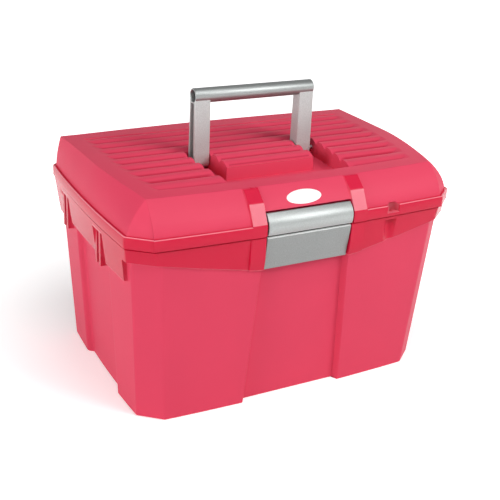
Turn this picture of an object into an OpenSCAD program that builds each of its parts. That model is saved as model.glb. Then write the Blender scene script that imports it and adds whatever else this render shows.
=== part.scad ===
// Horse grooming box: moulded tub, domed lid with a folding bail handle and a
// swinging front latch, rear pin hinges and a lift-out tray.
// Millimetres, +Z up, X along the front, front towards -Y, origin under the middle of the tub.

/* [Box] */
// Width over the lid band at the middle of its ends
box_w = 400; // [360:5:440]
// Depth over the lid band at the middle of its front
box_d = 280; // [260:5:310]
// Height of the tub's rim
rim_h = 203; // [190:1:225]
// Height of the lid's dome above the parting line
dome_h = 49.5; // [44:0.5:58]
// Outward bow of the ends in plan
bow_x = 4.4; // [2:0.2:6]
// Outward bow of the front and back in plan
bow_y = 5.5; // [3:0.5:7]
// Length of the corner facets along the front
corner_x = 24; // [18:1:28]
// Length of the corner facets along the ends
corner_y = 20; // [14:1:26]

/* [Tub] */
// Wall of the tub
tub_wall = 3; // [2.5:0.1:3.6]
// Floor of the tub
tub_floor = 3.5; // [2.5:0.5:6]
// Distance that the base corner lies inside the band corner along X
base_in_x = 18; // [15:1:22]
// Distance that the base corner lies inside the band corner along Y
base_in_y = 14.3; // [12:0.1:18]
// Distance that the wall at the rim lies inside the band along X
rim_in_x = 7.5; // [6:0.5:9]
// Distance that the wall at the rim lies inside the band along Y
rim_in_y = 4; // [3.5:0.1:5]
// Depth of the front and back panels
panel_in_y = 8.5; // [6:0.5:12]
// Half width of the front and back panels at the base
panel_half_x = 62; // [58:1:70]
// Narrowing of those panels towards their tops, on each side
panel_taper = 9; // [4:1:10]
// Slope run of those panels' side walls
panel_side_y = 2.2; // [1.5:0.1:4]
// Depth of the end panels
panel_in_x = 6.3; // [4:0.1:8]
// Half length of the end panels
panel_half_y = 52; // [45:1:60]
// Slope run of the end panels' side walls
panel_side_x = 7; // [3:0.5:9]

/* [Collar] */
// Depth of the collar below the rim at the corners
collar_corner = 16; // [12:1:19]
// Depth of the collar below the rim beside the latch
collar_latch = 38.5; // [34:0.5:42]
// Depth of the collar below the rim at the middle of the ends
collar_mid = 37; // [33:1:40]
// Depth of the collar below the rim towards the ends' corners
collar_end = 41; // [38:1:44]
// How far the collar's lower edge stands out of the wall on the front and back
collar_edge_y = 1.4; // [1:0.1:2.5]
// How far the collar's lower edge stands out of the wall on the ends
collar_edge_x = 3.8; // [2.5:0.1:5]
// How far the collar's top lies inside the lid band on the front and back
collar_in_y = 2.5; // [1.8:0.1:3]
// How far the collar's top lies inside the lid band on the ends
collar_in_x = 1.2; // [0.6:0.1:2]
// Depth of the inner ledge for the tray below the rim
ledge_drop = 7; // [5.5:0.5:7.5]
// Thickness of the rim above the ledge
rim_wall = 3; // [2.5:0.1:3.5]
// Width of an upright fin in a break of the end collar
fin_w = 6; // [4:0.5:7]
// Gap between the two fins of a pair
fin_gap = 5; // [3:0.5:7]
// Gap in front of a pair, up to the next stretch of collar
fin_open = 9; // [6:0.5:12]
// Distance of the fins' faces inside the widest place of the ends
fin_in = 5; // [4:0.5:6]
// Depth of the fins' lower ends below the rim
fin_drop = 48; // [45:1:52]
// Depth of the breaks' upper ends below the rim
break_drop = 8; // [7.5:0.5:12]
// Length of the notch in the collar at each front corner
notch_l = 10.5; // [6:0.5:14]
// Back edges of the pairs of fins along the ends, front and back
fin_y = [-28, 81];

/* [Lid] */
// Wall of the lid
lid_wall = 2.8; // [2.4:0.1:3.4]
// Height of the band
band_h = 13.3; // [10:0.1:17]
// Visible gap at the parting line
part_gap = 0.5; // [0.3:0.1:0.8]
// Width of the step between band and dome
step_w = 3.5; // [2.5:0.5:5]
// Fall of the barrel top from the middle to its front crease
crown_fall = 4.5; // [3:0.5:7]
// Distance that the crease lies inside the band corner
crease_in = 27.5; // [24:0.5:32]
// Distance that the crease's front corner lies inside the band corner along X
crease_corner_in = 26.5; // [22:0.5:30]
// Distance that the top's back corner lies inside the band corner along X
back_corner_in = 9.5; // [7:0.5:13]
// Distance that the middle of the top's ends lies inside the band corner along X
flank_in = 10.4; // [8:0.2:12]
// Number of ribs on the top
rib_count = 9; // [7:1:11]
// Depth of the valleys between the ribs
rib_depth = 3.4; // [2:0.2:4.5]
// Distance from the crease corner to the ribbed field at the front
border_front = 16; // [13:0.5:20]
// Distance from the crease corner to the ribbed field at the back
border_back = 20; // [16:1:24]
// Distance from the top's edge to the ribbed field at the ends
border_x = 15; // [10:1:22]
// Width of the blank oval label
label_w = 41; // [30:1:50]
// Height of the blank oval label
label_h = 16; // [12:1:18]
// Thickness of the label
label_t = 1.2; // [1:0.1:1.6]
// Place of the label's middle to the left of the box's middle
label_left = 3.3; // [0:0.1:6]
// Drop of the label's middle below the crease
label_drop = 12; // [10:0.5:13]

/* [Handle] */
// Length of the grip over its open ends
grip_l = 147; // [130:1:165]
// Outer radius of the grip
grip_r = 8.2; // [7:0.1:9]
// Wall of the grip
grip_wall = 2; // [1.5:0.1:3]
// Height of the grip's axis above the pivot
grip_rise = 72.8; // [65:0.2:76]
// Width of a leg along X
leg_w = 18; // [14:0.5:21]
// Radius of a leg's foot, which is also half its depth there
foot_r = 8.5; // [7:0.1:9]
// Half depth of a leg under the grip
leg_half = 7.2; // [6:0.1:8]
// Wall of a leg's channel
leg_wall = 2.4; // [1.8:0.1:3]
// Radius of the handle pins
handle_pin_r = 3; // [2:0.1:4]
// Depth of the handle recess below the lid's top
recess_depth = 19; // [17:0.5:22]

/* [Latch] */
// Width of the latch
latch_w = 100.8; // [80:0.2:110]
// Width of a pillar beside the latch
pillar_w = 17.5; // [12:0.5:22]
// Height of the latch pin above the parting line
latch_pin_up = 18; // [16:0.5:20]
// Distance of the latch pin behind the front of the band
latch_pin_in = 9; // [8:0.5:10]
// Plastic left over each end of the latch pin
latch_pin_cover = 8; // [5:0.5:10]
// Distance of a pillar's knee in front of the crease
pillar_knee = 16; // [12:0.5:18]
// Drop of a pillar's knee below the crease
knee_drop = 11.5; // [6:0.5:15]
// Distance of the collar's pillars behind the front of the band
pillar_in = 2.4; // [1.8:0.1:3]
// Height of the slanting toe of the collar's pillars
pillar_toe = 13; // [9:1:16]
// Radius of the latch pin
latch_pin_r = 2; // [1.5:0.1:2.4]
// Radius of the latch's hinge barrel
barrel_r = 4.5; // [4:0.1:5]
// Thickness of the latch's skin
latch_t = 3; // [2.4:0.1:3.4]
// Drop of the flap's lower edge below the parting line
flap_drop = 39; // [34:1:44]
// Inward lean of the flap over its height
flap_lean = 5.5; // [4:0.5:7]
// Drop of the latch bay's floor below the parting line
bay_drop = 36.5; // [35.5:0.5:38]
// Height of the flap's lip above the bay's floor
lip_up = 2.5; // [2:0.5:6]

/* [Hinge] */
// Place of the rear hinges from the middle
hinge_x = 110; // [90:1:130]
// Outer radius of a knuckle
knuckle_r = 5.5; // [4.5:0.1:6.5]
// Radius of the hinge pins
hinge_pin_r = 2.2; // [1.5:0.1:3]
// Length of the lid's knuckle
lid_knuckle_l = 22; // [16:1:28]
// Length of each of the tub's knuckles
tub_knuckle_l = 14; // [10:1:18]

/* [Padlock] */
// Place of the padlock eye from the middle
eye_x = 104; // [90:1:125]
// Radius of the half-round recess
eye_r = 7.8; // [6:0.1:9]
// Radius of the hole in the tub's lug
eye_bore_r = 2.5; // [2:0.1:3]
// Distance of the recess's axis behind the front of the band
eye_in = 4; // [3.5:0.1:4.5]
// Thickness of each lug
eye_lug = 4.5; // [3:0.5:6]
// Extra radius of the hole in the lid's lug
eye_ease = 0.8; // [0.4:0.1:1]

/* [Tray] */
// Depth of the tray below its rim
tray_deep = 46; // [30:1:60]
// Wall of the tray
tray_wall = 2; // [1.6:0.1:3]
// Thickness of the tray's rim
tray_rim = 2.5; // [2:0.1:4]
// Wall between the tray's front and back, by which it is lifted out
tray_middle = 6; // [3:0.5:10]
// Overhang of the tray's rim at its front and back
tray_lip = 6; // [4:0.5:8]

/* [Fits] */
// Radial clearance of a pin in its bore
pin_clear = 0.05; // [0.02:0.01:0.09]
// Side clearance of parts that move past each other
side_clear = 1; // [0.6:0.1:1.4]
// Clearance between a seated piece and its pocket
seat_clear = 0.2; // [0.1:0.05:0.4]

/* [Hidden] */
$fn = 48;
raspberry = [0.86, 0.2, 0.31];
silver = [0.66, 0.65, 0.62];
steel = [0.75, 0.75, 0.77];
white = [0.96, 0.96, 0.96];
tray_grey = [0.32, 0.33, 0.35];

// Far enough to cut right through anything
far = 2*(box_w + box_d);
// Small overlap that lets a cut or a union break a face cleanly
nib = 0.5;
side_steps = 8;
side = [for (i = [0:side_steps]) -1 + 2*i/side_steps];

// Plan sizes at the corners: lid band, wall at the rim, base
band_hw = box_w/2 - bow_x;
band_hd = box_d/2 - bow_y;
rim_hw = band_hw - rim_in_x;
rim_hd = band_hd - rim_in_y;
base_hw = band_hw - base_in_x;
base_hd = band_hd - base_in_y;
// Bow of the base as a share of the band's bow
base_share = 0.8;
// Growth of a corner facet as an outline moves in
corner_share = 0.6;
// Level stretch of the collar's lower edge beside the latch bay
collar_level = 5;

// Heights
lid_z = rim_h + part_gap;
band_z = rim_h + band_h;
top_z = rim_h + dome_h;
crease_z = top_z - crown_fall;
ledge_z = rim_h - ledge_drop;
recess_z = top_z - recess_depth;
collar_latch_z = rim_h - collar_latch;
collar_corner_z = rim_h - collar_corner;
collar_mid_z = rim_h - collar_mid;
collar_end_z = rim_h - collar_end;
break_z = rim_h - break_drop;
fin_z = rim_h - fin_drop;
bay_z = rim_h - bay_drop;

// Plan of the lid's top
crease_hd = band_hd - crease_in;
crease_hw = band_hw - crease_corner_in;
back_hw = band_hw - back_corner_in;
flank_hw = band_hw - flank_in;
crown_corner = 1.5;
// Run of the dome's side above the crease, in and up
flank_run = 3;

// Latch bay between the two pillars of the lid
bay_half = latch_w/2 + side_clear;
pillar_half = bay_half + pillar_w;
front_y = -(band_hd + bow_y);
latch_y = front_y + latch_pin_in;
latch_z = rim_h + latch_pin_up;
latch_pin_half = pillar_half - latch_pin_cover;
bay_gap = barrel_r + 2;
bay_y = latch_y + bay_gap;

// Handle recess, pivots and the block between the legs
pivot_z = recess_z + foot_r + side_clear/2;
leg_out = grip_l/2;
leg_in = leg_out - leg_w;
block_half = leg_in - side_clear;
recess_half = leg_out + 5;
field_front = -(crease_hd - border_front);
field_back = crease_hd - border_back;
rib_pitch = 2*field_back/rib_count;
rib_edges = concat([field_front], [for (k = [1:rib_count]) k*rib_pitch - field_back]);
block_front = rib_edges[2];
recess_back = foot_r + 3;

// Rear hinge axis behind the band and level with the rim
hinge_y = band_hd + bow_y + knuckle_r + part_gap;
hinge_z = rim_h;
knuckle_gap = 0.5;
hinge_half = lid_knuckle_l/2 + knuckle_gap + tub_knuckle_l;

// Padlock eye on the right of the front
eye_y = front_y + eye_in;
eye_hole_y = eye_y + eye_r - eye_bore_r - side_clear;
eye_boss_r = eye_r + lid_wall;
// Lower end of the groove under the eye, where the collar's slanting edge passes it
collar_level_x = bay_half + collar_level;
eye_low_z = collar_latch_z + (collar_corner_z - collar_latch_z)*(eye_x - collar_level_x)
    /(band_hw - corner_x - collar_level_x);

// Plan outline with bowed sides and cut corners
function outline(hw, hd, cx, cy, bx, by) = concat(
    [for (t = side) [t*(hw - cx), -(hd + by*(1 - t*t))]],
    [for (t = side) [hw + bx*(1 - t*t), t*(hd - cy)]],
    [for (t = side) [-t*(hw - cx), hd + by*(1 - t*t)]],
    [for (t = side) [-(hw + bx*(1 - t*t)), -t*(hd - cy)]]);

// Outline of the tub's wall at a height, moved in by e
function wall_share(z) = z/rim_h;
function wall_hw(z) = base_hw + (rim_hw - base_hw)*wall_share(z);
function wall_hd(z) = base_hd + (rim_hd - base_hd)*wall_share(z);
function wall_bow(b, z) = b*(base_share + (1 - base_share)*wall_share(z));
function wall_line(z, e) = wall_lines(z, e, e);
function wall_lines(z, ex, ey) = outline(wall_hw(z) - ex, wall_hd(z) - ey, corner_x - ex*corner_share,
                                         corner_y - ey*corner_share, wall_bow(bow_x, z), wall_bow(bow_y, z));

// Outline of the lid band, moved in by e
function band_line(e) = band_lines(e, e);
function band_lines(ex, ey) = outline(band_hw - ex, band_hd - ey, corner_x - ex*corner_share,
                                      corner_y - ey*corner_share, bow_x, bow_y);
// Outline of the tub's rim under the band, moved in by e
function rim_line(e) = band_lines(collar_in_x + e, collar_in_y + e);

// Half width of the lid's top: it narrows towards the front corners, t from -1 front to 1 back
function flank(t) = t < 0 ? flank_hw - (flank_hw - crease_hw - crown_corner)*pow(-t, 1.5)
                          : flank_hw - (flank_hw - back_hw - crown_corner)*t*t;

// Outline of the lid's top at the crease, moved in by e
function crown_line(e) = concat(
    [for (t = side) [t*(crease_hw - e), -(crease_hd - e + bow_y*(1 - t*t))]],
    [for (t = side) [flank(t) - e, t*(crease_hd - e - crown_corner)]],
    [for (t = side) [-t*(back_hw - e), crease_hd - e + bow_y*(1 - t*t)]],
    [for (t = side) [-(flank(-t) - e), -t*(crease_hd - e - crown_corner)]]);

// The dome's sides lean in slowly at first and faster towards the crease
function lean(t) = 0.3*t + 0.7*t*t;
function dome_ring(t, e) = let (low = band_line(step_w + e), high = crown_line(e))
    [for (i = [0:len(low) - 1]) low[i] + (high[i] - low[i])*lean(t)];
function dome_z(t) = band_z + (crease_z - band_z)*t;

// Height of the barrel top at a distance y from its middle
function crown_z(y) = top_z - crown_fall*pow(y/(crease_hd + bow_y), 2);
// Height of the ribbed field: a row of convex ribs with sharp valleys, u from 0 to 1 across a rib
function rib_z(y, u) = crown_z(y) - 0.3 - rib_depth*pow(2*u - 1, 2);
rib_steps = 8;
rib_profile = [for (k = [0:rib_count - 1], i = [0:rib_steps - (k < rib_count - 1 ? 1 : 0)])
    let (u = i/rib_steps, y = rib_edges[k] + (rib_edges[k + 1] - rib_edges[k])*u) [y, rib_z(y, u)]];

// Front slope of the dome at a height, at the middle of the front
function slope_y(z) = let (t = (z - band_z)/(crease_z - band_z))
    -(band_hd - step_w + bow_y) + (band_hd - step_w - crease_hd)*lean(t);

// Solid through a stack of outlines with equal numbers of points: levels = [[z, points], ...]
module loft(levels) {
    n = len(levels[0][1]);
    m = len(levels);
    points = [for (l = levels) for (p = l[1]) [p[0], p[1], l[0]]];
    walls = [for (k = [0:m - 2]) for (i = [0:n - 1])
        let (a = k*n + i, b = k*n + (i + 1) % n) each [[a, a + n, b + n], [a, b + n, b]]];
    foot = [for (i = [0:n - 1]) i];
    head = [for (i = [0:n - 1]) (m - 1)*n + n - 1 - i];
    polyhedron(points, concat(walls, [foot, head]), convexity = 6);
}

// A profile drawn in Y and Z, carried along X from x0 to x1
module along_x(x0, x1) {
    translate([x0, 0, 0]) rotate([90, 0, 90]) linear_extrude(x1 - x0, convexity = 8) children();
}

// A cylinder along X
module rod_x(x0, x1, y, z, r) {
    translate([x0, y, z]) rotate([0, 90, 0]) cylinder(h = x1 - x0, r = r);
}

// Upright cylinder between two heights
module post(x, y, z0, z1, r) {
    translate([x, y, z0]) cylinder(h = z1 - z0, r = r);
}

module box(low, high) {
    translate(low) cube(high - low);
}

// Recess of a panel in a wall that faces -Y, grown by e towards the inside. The wall lies at a distance
// reach0 from the middle at the base and reach1 at the panel's top, and the floor follows it.
module panel(e, deep, run, half, taper, reach0, reach1, z_top) {
    out = -box_w;
    function wide(h, y) = h + run*((y - out)/deep - 1);
    function ring(h, y) = [[-wide(h, y), out], [wide(h, y), out], [h - run, y], [-h + run, y]];
    loft([[-nib, ring(half + e, deep + e - reach0)], [z_top + e, ring(half - taper + e, deep + e - reach1)]]);
}

module long_panel(e, z_top) {
    panel(e, panel_in_y, panel_side_y, panel_half_x, panel_taper, base_hd + wall_bow(bow_y, 0),
          wall_hd(z_top) + wall_bow(bow_y, z_top), z_top);
}

module end_panel(e) {
    z_top = collar_mid_z - nib;
    rotate([0, 0, -90])
        panel(e, panel_in_x, panel_side_x, panel_half_y, 0, base_hw + wall_bow(bow_x, 0),
              wall_hw(z_top) + wall_bow(bow_x, z_top), z_top);
}

module panels(e) {
    long_panel(e, bay_z + nib);
    mirror([0, 1, 0]) long_panel(e, collar_latch_z + nib);
    end_panel(e);
    mirror([1, 0, 0]) end_panel(e);
}

// Bay in the tub's front behind the latch, grown by e
module tub_bay(e) {
    box([-bay_half - e, -far, bay_z - e], [bay_half + e, bay_y + e, rim_h + part_gap*2]);
}

// Flared collar with slanting lower edges on the front and back
module collar() {
    difference() {
        union() {
            loft([[collar_end_z, wall_lines(collar_end_z, -collar_edge_x, -collar_edge_y)],
                  [rim_h, rim_line(0)]]);
            collar_pillars();
        }
        for (s = [0, 1]) mirror([0, s, 0])
            translate([0, -(band_hd - corner_y), 0]) rotate([90, 0, 0]) linear_extrude(far)
                polygon([[-far, 0], [far, 0], [far, collar_corner_z], [band_hw - corner_x, collar_corner_z],
                         [collar_level_x, collar_latch_z], [-collar_level_x, collar_latch_z],
                         [-(band_hw - corner_x), collar_corner_z], [-far, collar_corner_z]]);
        box([-bay_half, -far, 0], [bay_half, 0, bay_z + nib]);
        collar_breaks();
    }
    fins();
}

// Two upright faces beside the latch, slanting in at their feet
module collar_pillars() {
    y_in = bay_y + tub_wall;
    face_y = front_y + pillar_in;
    foot_y = -(wall_hd(collar_latch_z) + wall_bow(bow_y, collar_latch_z)) - collar_edge_y;
    for (s = [0, 1]) mirror([s, 0, 0]) along_x(bay_half, pillar_half)
        polygon([[y_in, collar_latch_z], [foot_y, collar_latch_z], [face_y, collar_latch_z + pillar_toe],
                 [face_y, rim_h], [y_in, rim_h]]);
}

// Breaks in the end collar for the fins, its higher edge between them and the notch at each front corner
fin_span = 2*fin_w + fin_gap + fin_open;
module collar_breaks() {
    low_z = collar_end_z - nib;
    facet_y = -(band_hd - corner_y);
    for (s = [0, 1]) mirror([s, 0, 0]) {
        for (y = fin_y)
            box([-far, y - fin_span, low_z], [-base_hw, y, break_z]);
        box([-far, fin_y[0], low_z], [-base_hw, fin_y[1] - fin_span, collar_mid_z]);
        box([-far, facet_y, low_z], [-base_hw, facet_y + notch_l, collar_corner_z]);
    }
}

// Upright fins in pairs across the breaks
module fins() {
    root = wall_hw(fin_z) - panel_in_x;
    for (s = [0, 1]) mirror([s, 0, 0])
        for (y = fin_y, k = [0, 1]) {
            back = y - k*(fin_w + fin_gap);
            box([-(box_w/2 - fin_in), back - fin_w, fin_z], [-root, back, break_z + nib]);
        }
}

// Barrel and web of one knuckle, from x0 to x1; up is 1 on the lid and -1 on the tub
module knuckle(x0, x1, up) {
    z_in = up > 0 ? lid_z : rim_h - knuckle_r;
    z_out = up > 0 ? lid_z + knuckle_r : rim_h;
    rod_x(x0, x1, hinge_y, hinge_z, knuckle_r);
    box([x0, band_hd - collar_in_y, z_in], [x1, hinge_y, z_out]);
}

module tub_cavity() {
    difference() {
        union() {
            loft([[tub_floor, wall_line(tub_floor, tub_wall)],
                  [rim_h + nib, wall_line(rim_h + nib, tub_wall)]]);
            loft([[ledge_z, rim_line(rim_wall)], [rim_h + nib, rim_line(rim_wall)]]);
        }
        panels(tub_wall);
        tub_bay(tub_wall);
        post(eye_x, eye_y, eye_low_z - tub_wall, rim_h + part_gap*2, eye_boss_r);
    }
}

module tub() {
    color(raspberry) difference() {
        union() {
            difference() {
                loft([[0, wall_line(0, 0)], [rim_h, wall_line(rim_h, 0)]]);
                panels(0);
            }
            collar();
            for (s = [-1, 1], k = [-1, 1]) {
                middle = s*hinge_x + k*(hinge_half - tub_knuckle_l/2);
                knuckle(middle - tub_knuckle_l/2, middle + tub_knuckle_l/2, -1);
            }
        }
        tub_cavity();
        tub_bay(0);
        post(eye_x, eye_y, eye_low_z, rim_h - eye_lug, eye_r);
        post(eye_x, eye_hole_y, rim_h - eye_lug - nib, rim_h + nib, eye_bore_r);
        for (s = [-1, 1])
            rod_x(s*hinge_x - far/2, s*hinge_x + far/2, hinge_y, hinge_z, hinge_pin_r + pin_clear);
    }
}

module hinge_pin(s) {
    color(steel) rod_x(s*hinge_x - hinge_half, s*hinge_x + hinge_half, hinge_y, hinge_z, hinge_pin_r);
}

// Everything under the barrel top lowered by e
module under_crown(e) {
    reach = box_d/2 + nib;
    arc = [for (t = side) [t*reach, crown_z(t*reach) - e]];
    along_x(-far/2, far/2) polygon(concat([[reach, -nib], [-reach, -nib]], arc));
}

module dome(e) {
    steps = [0, 0.25, 0.5, 0.75, 1];
    intersection() {
        loft(concat([[band_z - step_w, dome_ring(0, e)]], [for (t = steps) [dome_z(t), dome_ring(t, e)]],
                    [[top_z + flank_run, crown_line(e + flank_run)]]));
        under_crown(e > 0 ? e + rib_depth + 0.3 : 0);
    }
}

// Valleys between the ribs, cut down into the barrel top
module rib_valleys() {
    front_half = crease_hw - border_x + 2;
    back_half = back_hw - border_x;
    intersection() {
        along_x(-far/2, far/2) polygon(concat(rib_profile, [[field_back, top_z*2], [field_front, top_z*2]]));
        linear_extrude(top_z*3)
            polygon([[-front_half, field_front - nib], [front_half, field_front - nib],
                     [back_half, field_back + nib], [-back_half, field_back + nib]]);
    }
}

// Recess for the folded handle around the block between its legs, grown by e
module handle_recess(e) {
    difference() {
        box([-recess_half - e, field_front - e, recess_z - e], [recess_half + e, recess_back + e, top_z*2]);
        box([-block_half + e, block_front + e, -far], [block_half - e, far, far]);
    }
}

// Upright pillars on the dome's front beside the latch
module lid_pillars() {
    knee_y = -(crease_hd + bow_y) - pillar_knee;
    for (s = [0, 1]) mirror([s, 0, 0]) along_x(bay_half, pillar_half)
        polygon([[bay_y + lid_wall*3, lid_z], [front_y, lid_z], [front_y, band_z],
                 [knee_y, crease_z - knee_drop], [-(crease_hd + bow_y) + 2, crease_z + 0.2],
                 [bay_y + lid_wall*3, crease_z - lid_wall*3]]);
}

// Pocket behind the latch hood, grown by e
module lid_bay(e) {
    box([-bay_half - e, -far, 0], [bay_half + e, bay_y + e, latch_z + bay_gap + e]);
}

// Place and tilt of the label on the front slope, with Z along the slope's normal
label_z = crease_z - label_drop;
label_tilt = atan2(slope_y(label_z + label_h/3) - slope_y(label_z - label_h/3), label_h*2/3);
module on_label() {
    translate([-label_left, slope_y(label_z), label_z]) rotate([90 - label_tilt, 0, 0]) children();
}
module oval(grow) {
    polygon([for (a = [0:7.5:359]) [(label_w/2 + grow)*cos(a), (label_h/2 + grow)*sin(a)]]);
}
label_sink = label_t - 0.4;

module lid_cavity() {
    difference() {
        union() {
            loft([[0, band_line(lid_wall + nib)], [band_z - lid_wall, band_line(lid_wall + nib)]]);
            dome(lid_wall);
        }
        handle_recess(lid_wall);
        lid_bay(lid_wall);
        post(eye_x, eye_y, 0, top_z, eye_boss_r);
        on_label() translate([0, 0, -label_sink - lid_wall]) linear_extrude(far) oval(lid_wall);
    }
}

module lid() {
    color(raspberry) difference() {
        union() {
            loft([[lid_z, band_line(0)], [band_z, band_line(0)]]);
            dome(0);
            lid_pillars();
            for (s = [-1, 1])
                knuckle(s*hinge_x - lid_knuckle_l/2, s*hinge_x + lid_knuckle_l/2, 1);
        }
        lid_cavity();
        rib_valleys();
        handle_recess(0);
        lid_bay(0);
        on_label() translate([0, 0, -label_sink]) linear_extrude(far) oval(seat_clear);
        post(eye_x, eye_y, lid_z + eye_lug, top_z, eye_r);
        post(eye_x, eye_hole_y, 0, top_z, eye_bore_r + eye_ease);
        rod_x(-latch_pin_half, latch_pin_half, latch_y, latch_z, latch_pin_r + pin_clear);
        for (s = [-1, 1]) {
            rod_x(s*hinge_x - far/4, s*hinge_x + far/4, hinge_y, hinge_z, hinge_pin_r + pin_clear);
            middle = s*(recess_half + block_half)/2;
            half = (recess_half - block_half)/2 + lid_wall + nib;
            rod_x(middle - half, middle + half, 0, pivot_z, handle_pin_r + pin_clear);
        }
    }
}

module label_badge() {
    color(white) on_label() translate([0, 0, -label_sink + seat_clear/2]) linear_extrude(label_t) oval(0);
}

// Curved skin of the latch's upper half, as a bent strip
hood_foot_z = rim_h + 0.6;
function bend(a, c, b) = [for (i = [0:8]) let (t = i/8) a*(1 - t)*(1 - t) + c*2*t*(1 - t) + b*t*t];
hood_top = [latch_y - 1.2, latch_z + barrel_r + 0.4];
hood_foot = [front_y + 1.2, hood_foot_z];
hood_out = bend(hood_top, [front_y - 4.8, latch_z - 3.5], hood_foot);
hood_in = bend(hood_foot + [latch_t, 0], [front_y - 1.2, latch_z - 4.5], hood_top + [0.8, -latch_t]);

module latch_hood() {
    color(silver) difference() {
        along_x(-latch_w/2, latch_w/2) {
            polygon(concat(hood_out, hood_in));
            translate([latch_y, latch_z]) circle(r = barrel_r);
        }
        rod_x(-latch_w, latch_w, latch_y, latch_z, latch_pin_r + pin_clear);
    }
}

// Flat lower half of the latch with a tongue behind the hood, a lip and a finger edge
flap_top_z = rim_h;
flap_foot_z = rim_h - flap_drop;
flap_y = front_y + 2;
module latch_flap() {
    back = flap_y + latch_t;
    lip_z = bay_z + lip_up;
    lip_y = bay_y - side_clear/2;
    function lean_at(z) = flap_lean*(flap_top_z - z)/flap_drop;
    tongue_in = hood_foot[0] + latch_t + seat_clear;
    color(silver) along_x(-latch_w/2, latch_w/2)
        polygon([[flap_y, flap_top_z], [flap_y + flap_lean, flap_foot_z], [back + flap_lean, flap_foot_z],
                 [back + lean_at(lip_z - 2), lip_z - 2], [lip_y, lip_z], [lip_y, lip_z + 2],
                 [back + lean_at(lip_z + 2), lip_z + 2], [back + lean_at(flap_top_z - 2), flap_top_z - 2],
                 [tongue_in + latch_t*0.6, flap_top_z], [tongue_in + latch_t*0.6, flap_top_z + 5],
                 [tongue_in, flap_top_z + 5], [tongue_in, flap_top_z]]);
}

module latch_pin() {
    reach = latch_pin_half - seat_clear;
    color(steel) rod_x(-reach, reach, latch_y, latch_z, latch_pin_r);
}

// One leg on the right: a channel open to the outside, with a round foot on the pin
module leg() {
    grip_z = pivot_z + grip_rise;
    difference() {
        along_x(leg_in, leg_out) union() {
            translate([0, pivot_z]) circle(r = foot_r);
            polygon([[-foot_r, pivot_z], [foot_r, pivot_z], [leg_half, grip_z], [-leg_half, grip_z]]);
            translate([0, grip_z]) circle(r = grip_r);
        }
        along_x(leg_in + leg_wall, leg_out + nib)
            polygon([[-foot_r + leg_wall, pivot_z + foot_r + 2], [foot_r - leg_wall, pivot_z + foot_r + 2],
                     [leg_half - leg_wall, grip_z - grip_r - 1], [-leg_half + leg_wall, grip_z - grip_r - 1]]);
        rod_x(0, far, 0, pivot_z, handle_pin_r + pin_clear);
    }
}

module handle() {
    grip_z = pivot_z + grip_rise;
    color(silver) difference() {
        union() {
            rod_x(-grip_l/2, grip_l/2, 0, grip_z, grip_r);
            leg();
            mirror([1, 0, 0]) leg();
        }
        rod_x(-grip_l, grip_l, 0, grip_z, grip_r - grip_wall);
    }
}

module handle_pin(s) {
    reach = (recess_half - block_half)/2 + lid_wall;
    middle = s*(recess_half + block_half)/2;
    color(steel) rod_x(middle - reach, middle + reach, 0, pivot_z, handle_pin_r);
}

// Lift-out tray: a rim on the tub's ledge, three compartments in front and a long one behind
tray_z = ledge_z + tray_rim;
tray_hd = base_hd + bow_y*base_share - panel_in_y - tub_wall - side_clear;
tray_hw = base_hw + bow_x*base_share - panel_in_x - tub_wall - side_clear;
module tray() {
    low_z = tray_z - tray_deep;
    cell_w = (2*tray_hw - 4*tray_wall)/3;
    color(tray_grey) difference() {
        union() {
            translate([0, 0, ledge_z]) linear_extrude(tray_rim) intersection() {
                polygon(rim_line(rim_wall + side_clear*0.6));
                square([far, 2*(tray_hd + tray_lip)], center = true);
            }
            box([-tray_hw, -tray_hd, low_z], [tray_hw, tray_hd, tray_z]);
        }
        for (k = [0:2]) {
            x0 = -tray_hw + tray_wall + k*(cell_w + tray_wall);
            box([x0, -tray_hd + tray_wall, low_z + tray_wall], [x0 + cell_w, -tray_middle/2, tray_z + nib]);
        }
        box([-tray_hw + tray_wall, tray_middle/2, low_z + tray_wall],
            [tray_hw - tray_wall, tray_hd - tray_wall, tray_z + nib]);
    }
}

tub();
hinge_pin(-1);  // hinge_pin_left
hinge_pin(1);  // hinge_pin_right
lid();
label_badge();
latch_hood();
latch_flap();
latch_pin();
handle();
handle_pin(-1);  // handle_pin_left
handle_pin(1);  // handle_pin_right
tray();
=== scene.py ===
import math

import bmesh
import bpy
import numpy as np
from mathutils import Matrix, Vector


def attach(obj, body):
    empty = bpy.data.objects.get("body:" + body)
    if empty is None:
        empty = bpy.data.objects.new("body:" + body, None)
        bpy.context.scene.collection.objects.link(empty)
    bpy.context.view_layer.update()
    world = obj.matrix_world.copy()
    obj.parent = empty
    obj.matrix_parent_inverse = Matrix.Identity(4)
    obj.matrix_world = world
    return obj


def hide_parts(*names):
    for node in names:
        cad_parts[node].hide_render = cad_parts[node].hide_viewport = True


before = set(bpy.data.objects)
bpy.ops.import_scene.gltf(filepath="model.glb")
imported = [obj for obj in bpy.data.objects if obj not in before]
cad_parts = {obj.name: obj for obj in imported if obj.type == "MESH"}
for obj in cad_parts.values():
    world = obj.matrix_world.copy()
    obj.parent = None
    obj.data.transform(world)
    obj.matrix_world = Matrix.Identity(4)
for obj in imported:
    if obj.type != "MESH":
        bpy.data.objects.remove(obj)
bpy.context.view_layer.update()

# Tub: one deep injection-moulded shell of raspberry-red polypropylene, drafted so that it
# leaves the mould, with cut corners, recessed panels and a flared collar under its rim.
# The walls have a fine spark-eroded skin; the collar and its fins are polished.
RIM_Z, LEDGE_Z, TUB_WALL, TUB_FLOOR = 203.0, 196.0, 3.0, 3.5
BAND_HW, BAND_HD = 195.6, 134.5
BASE_HW, BASE_HD = 177.6, 120.2
WALL_HW, WALL_HD = 188.1, 130.5
CORNER_X, CORNER_Y = 24.0, 20.0
BOW_X, BOW_Y = 4.4, 5.5
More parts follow.
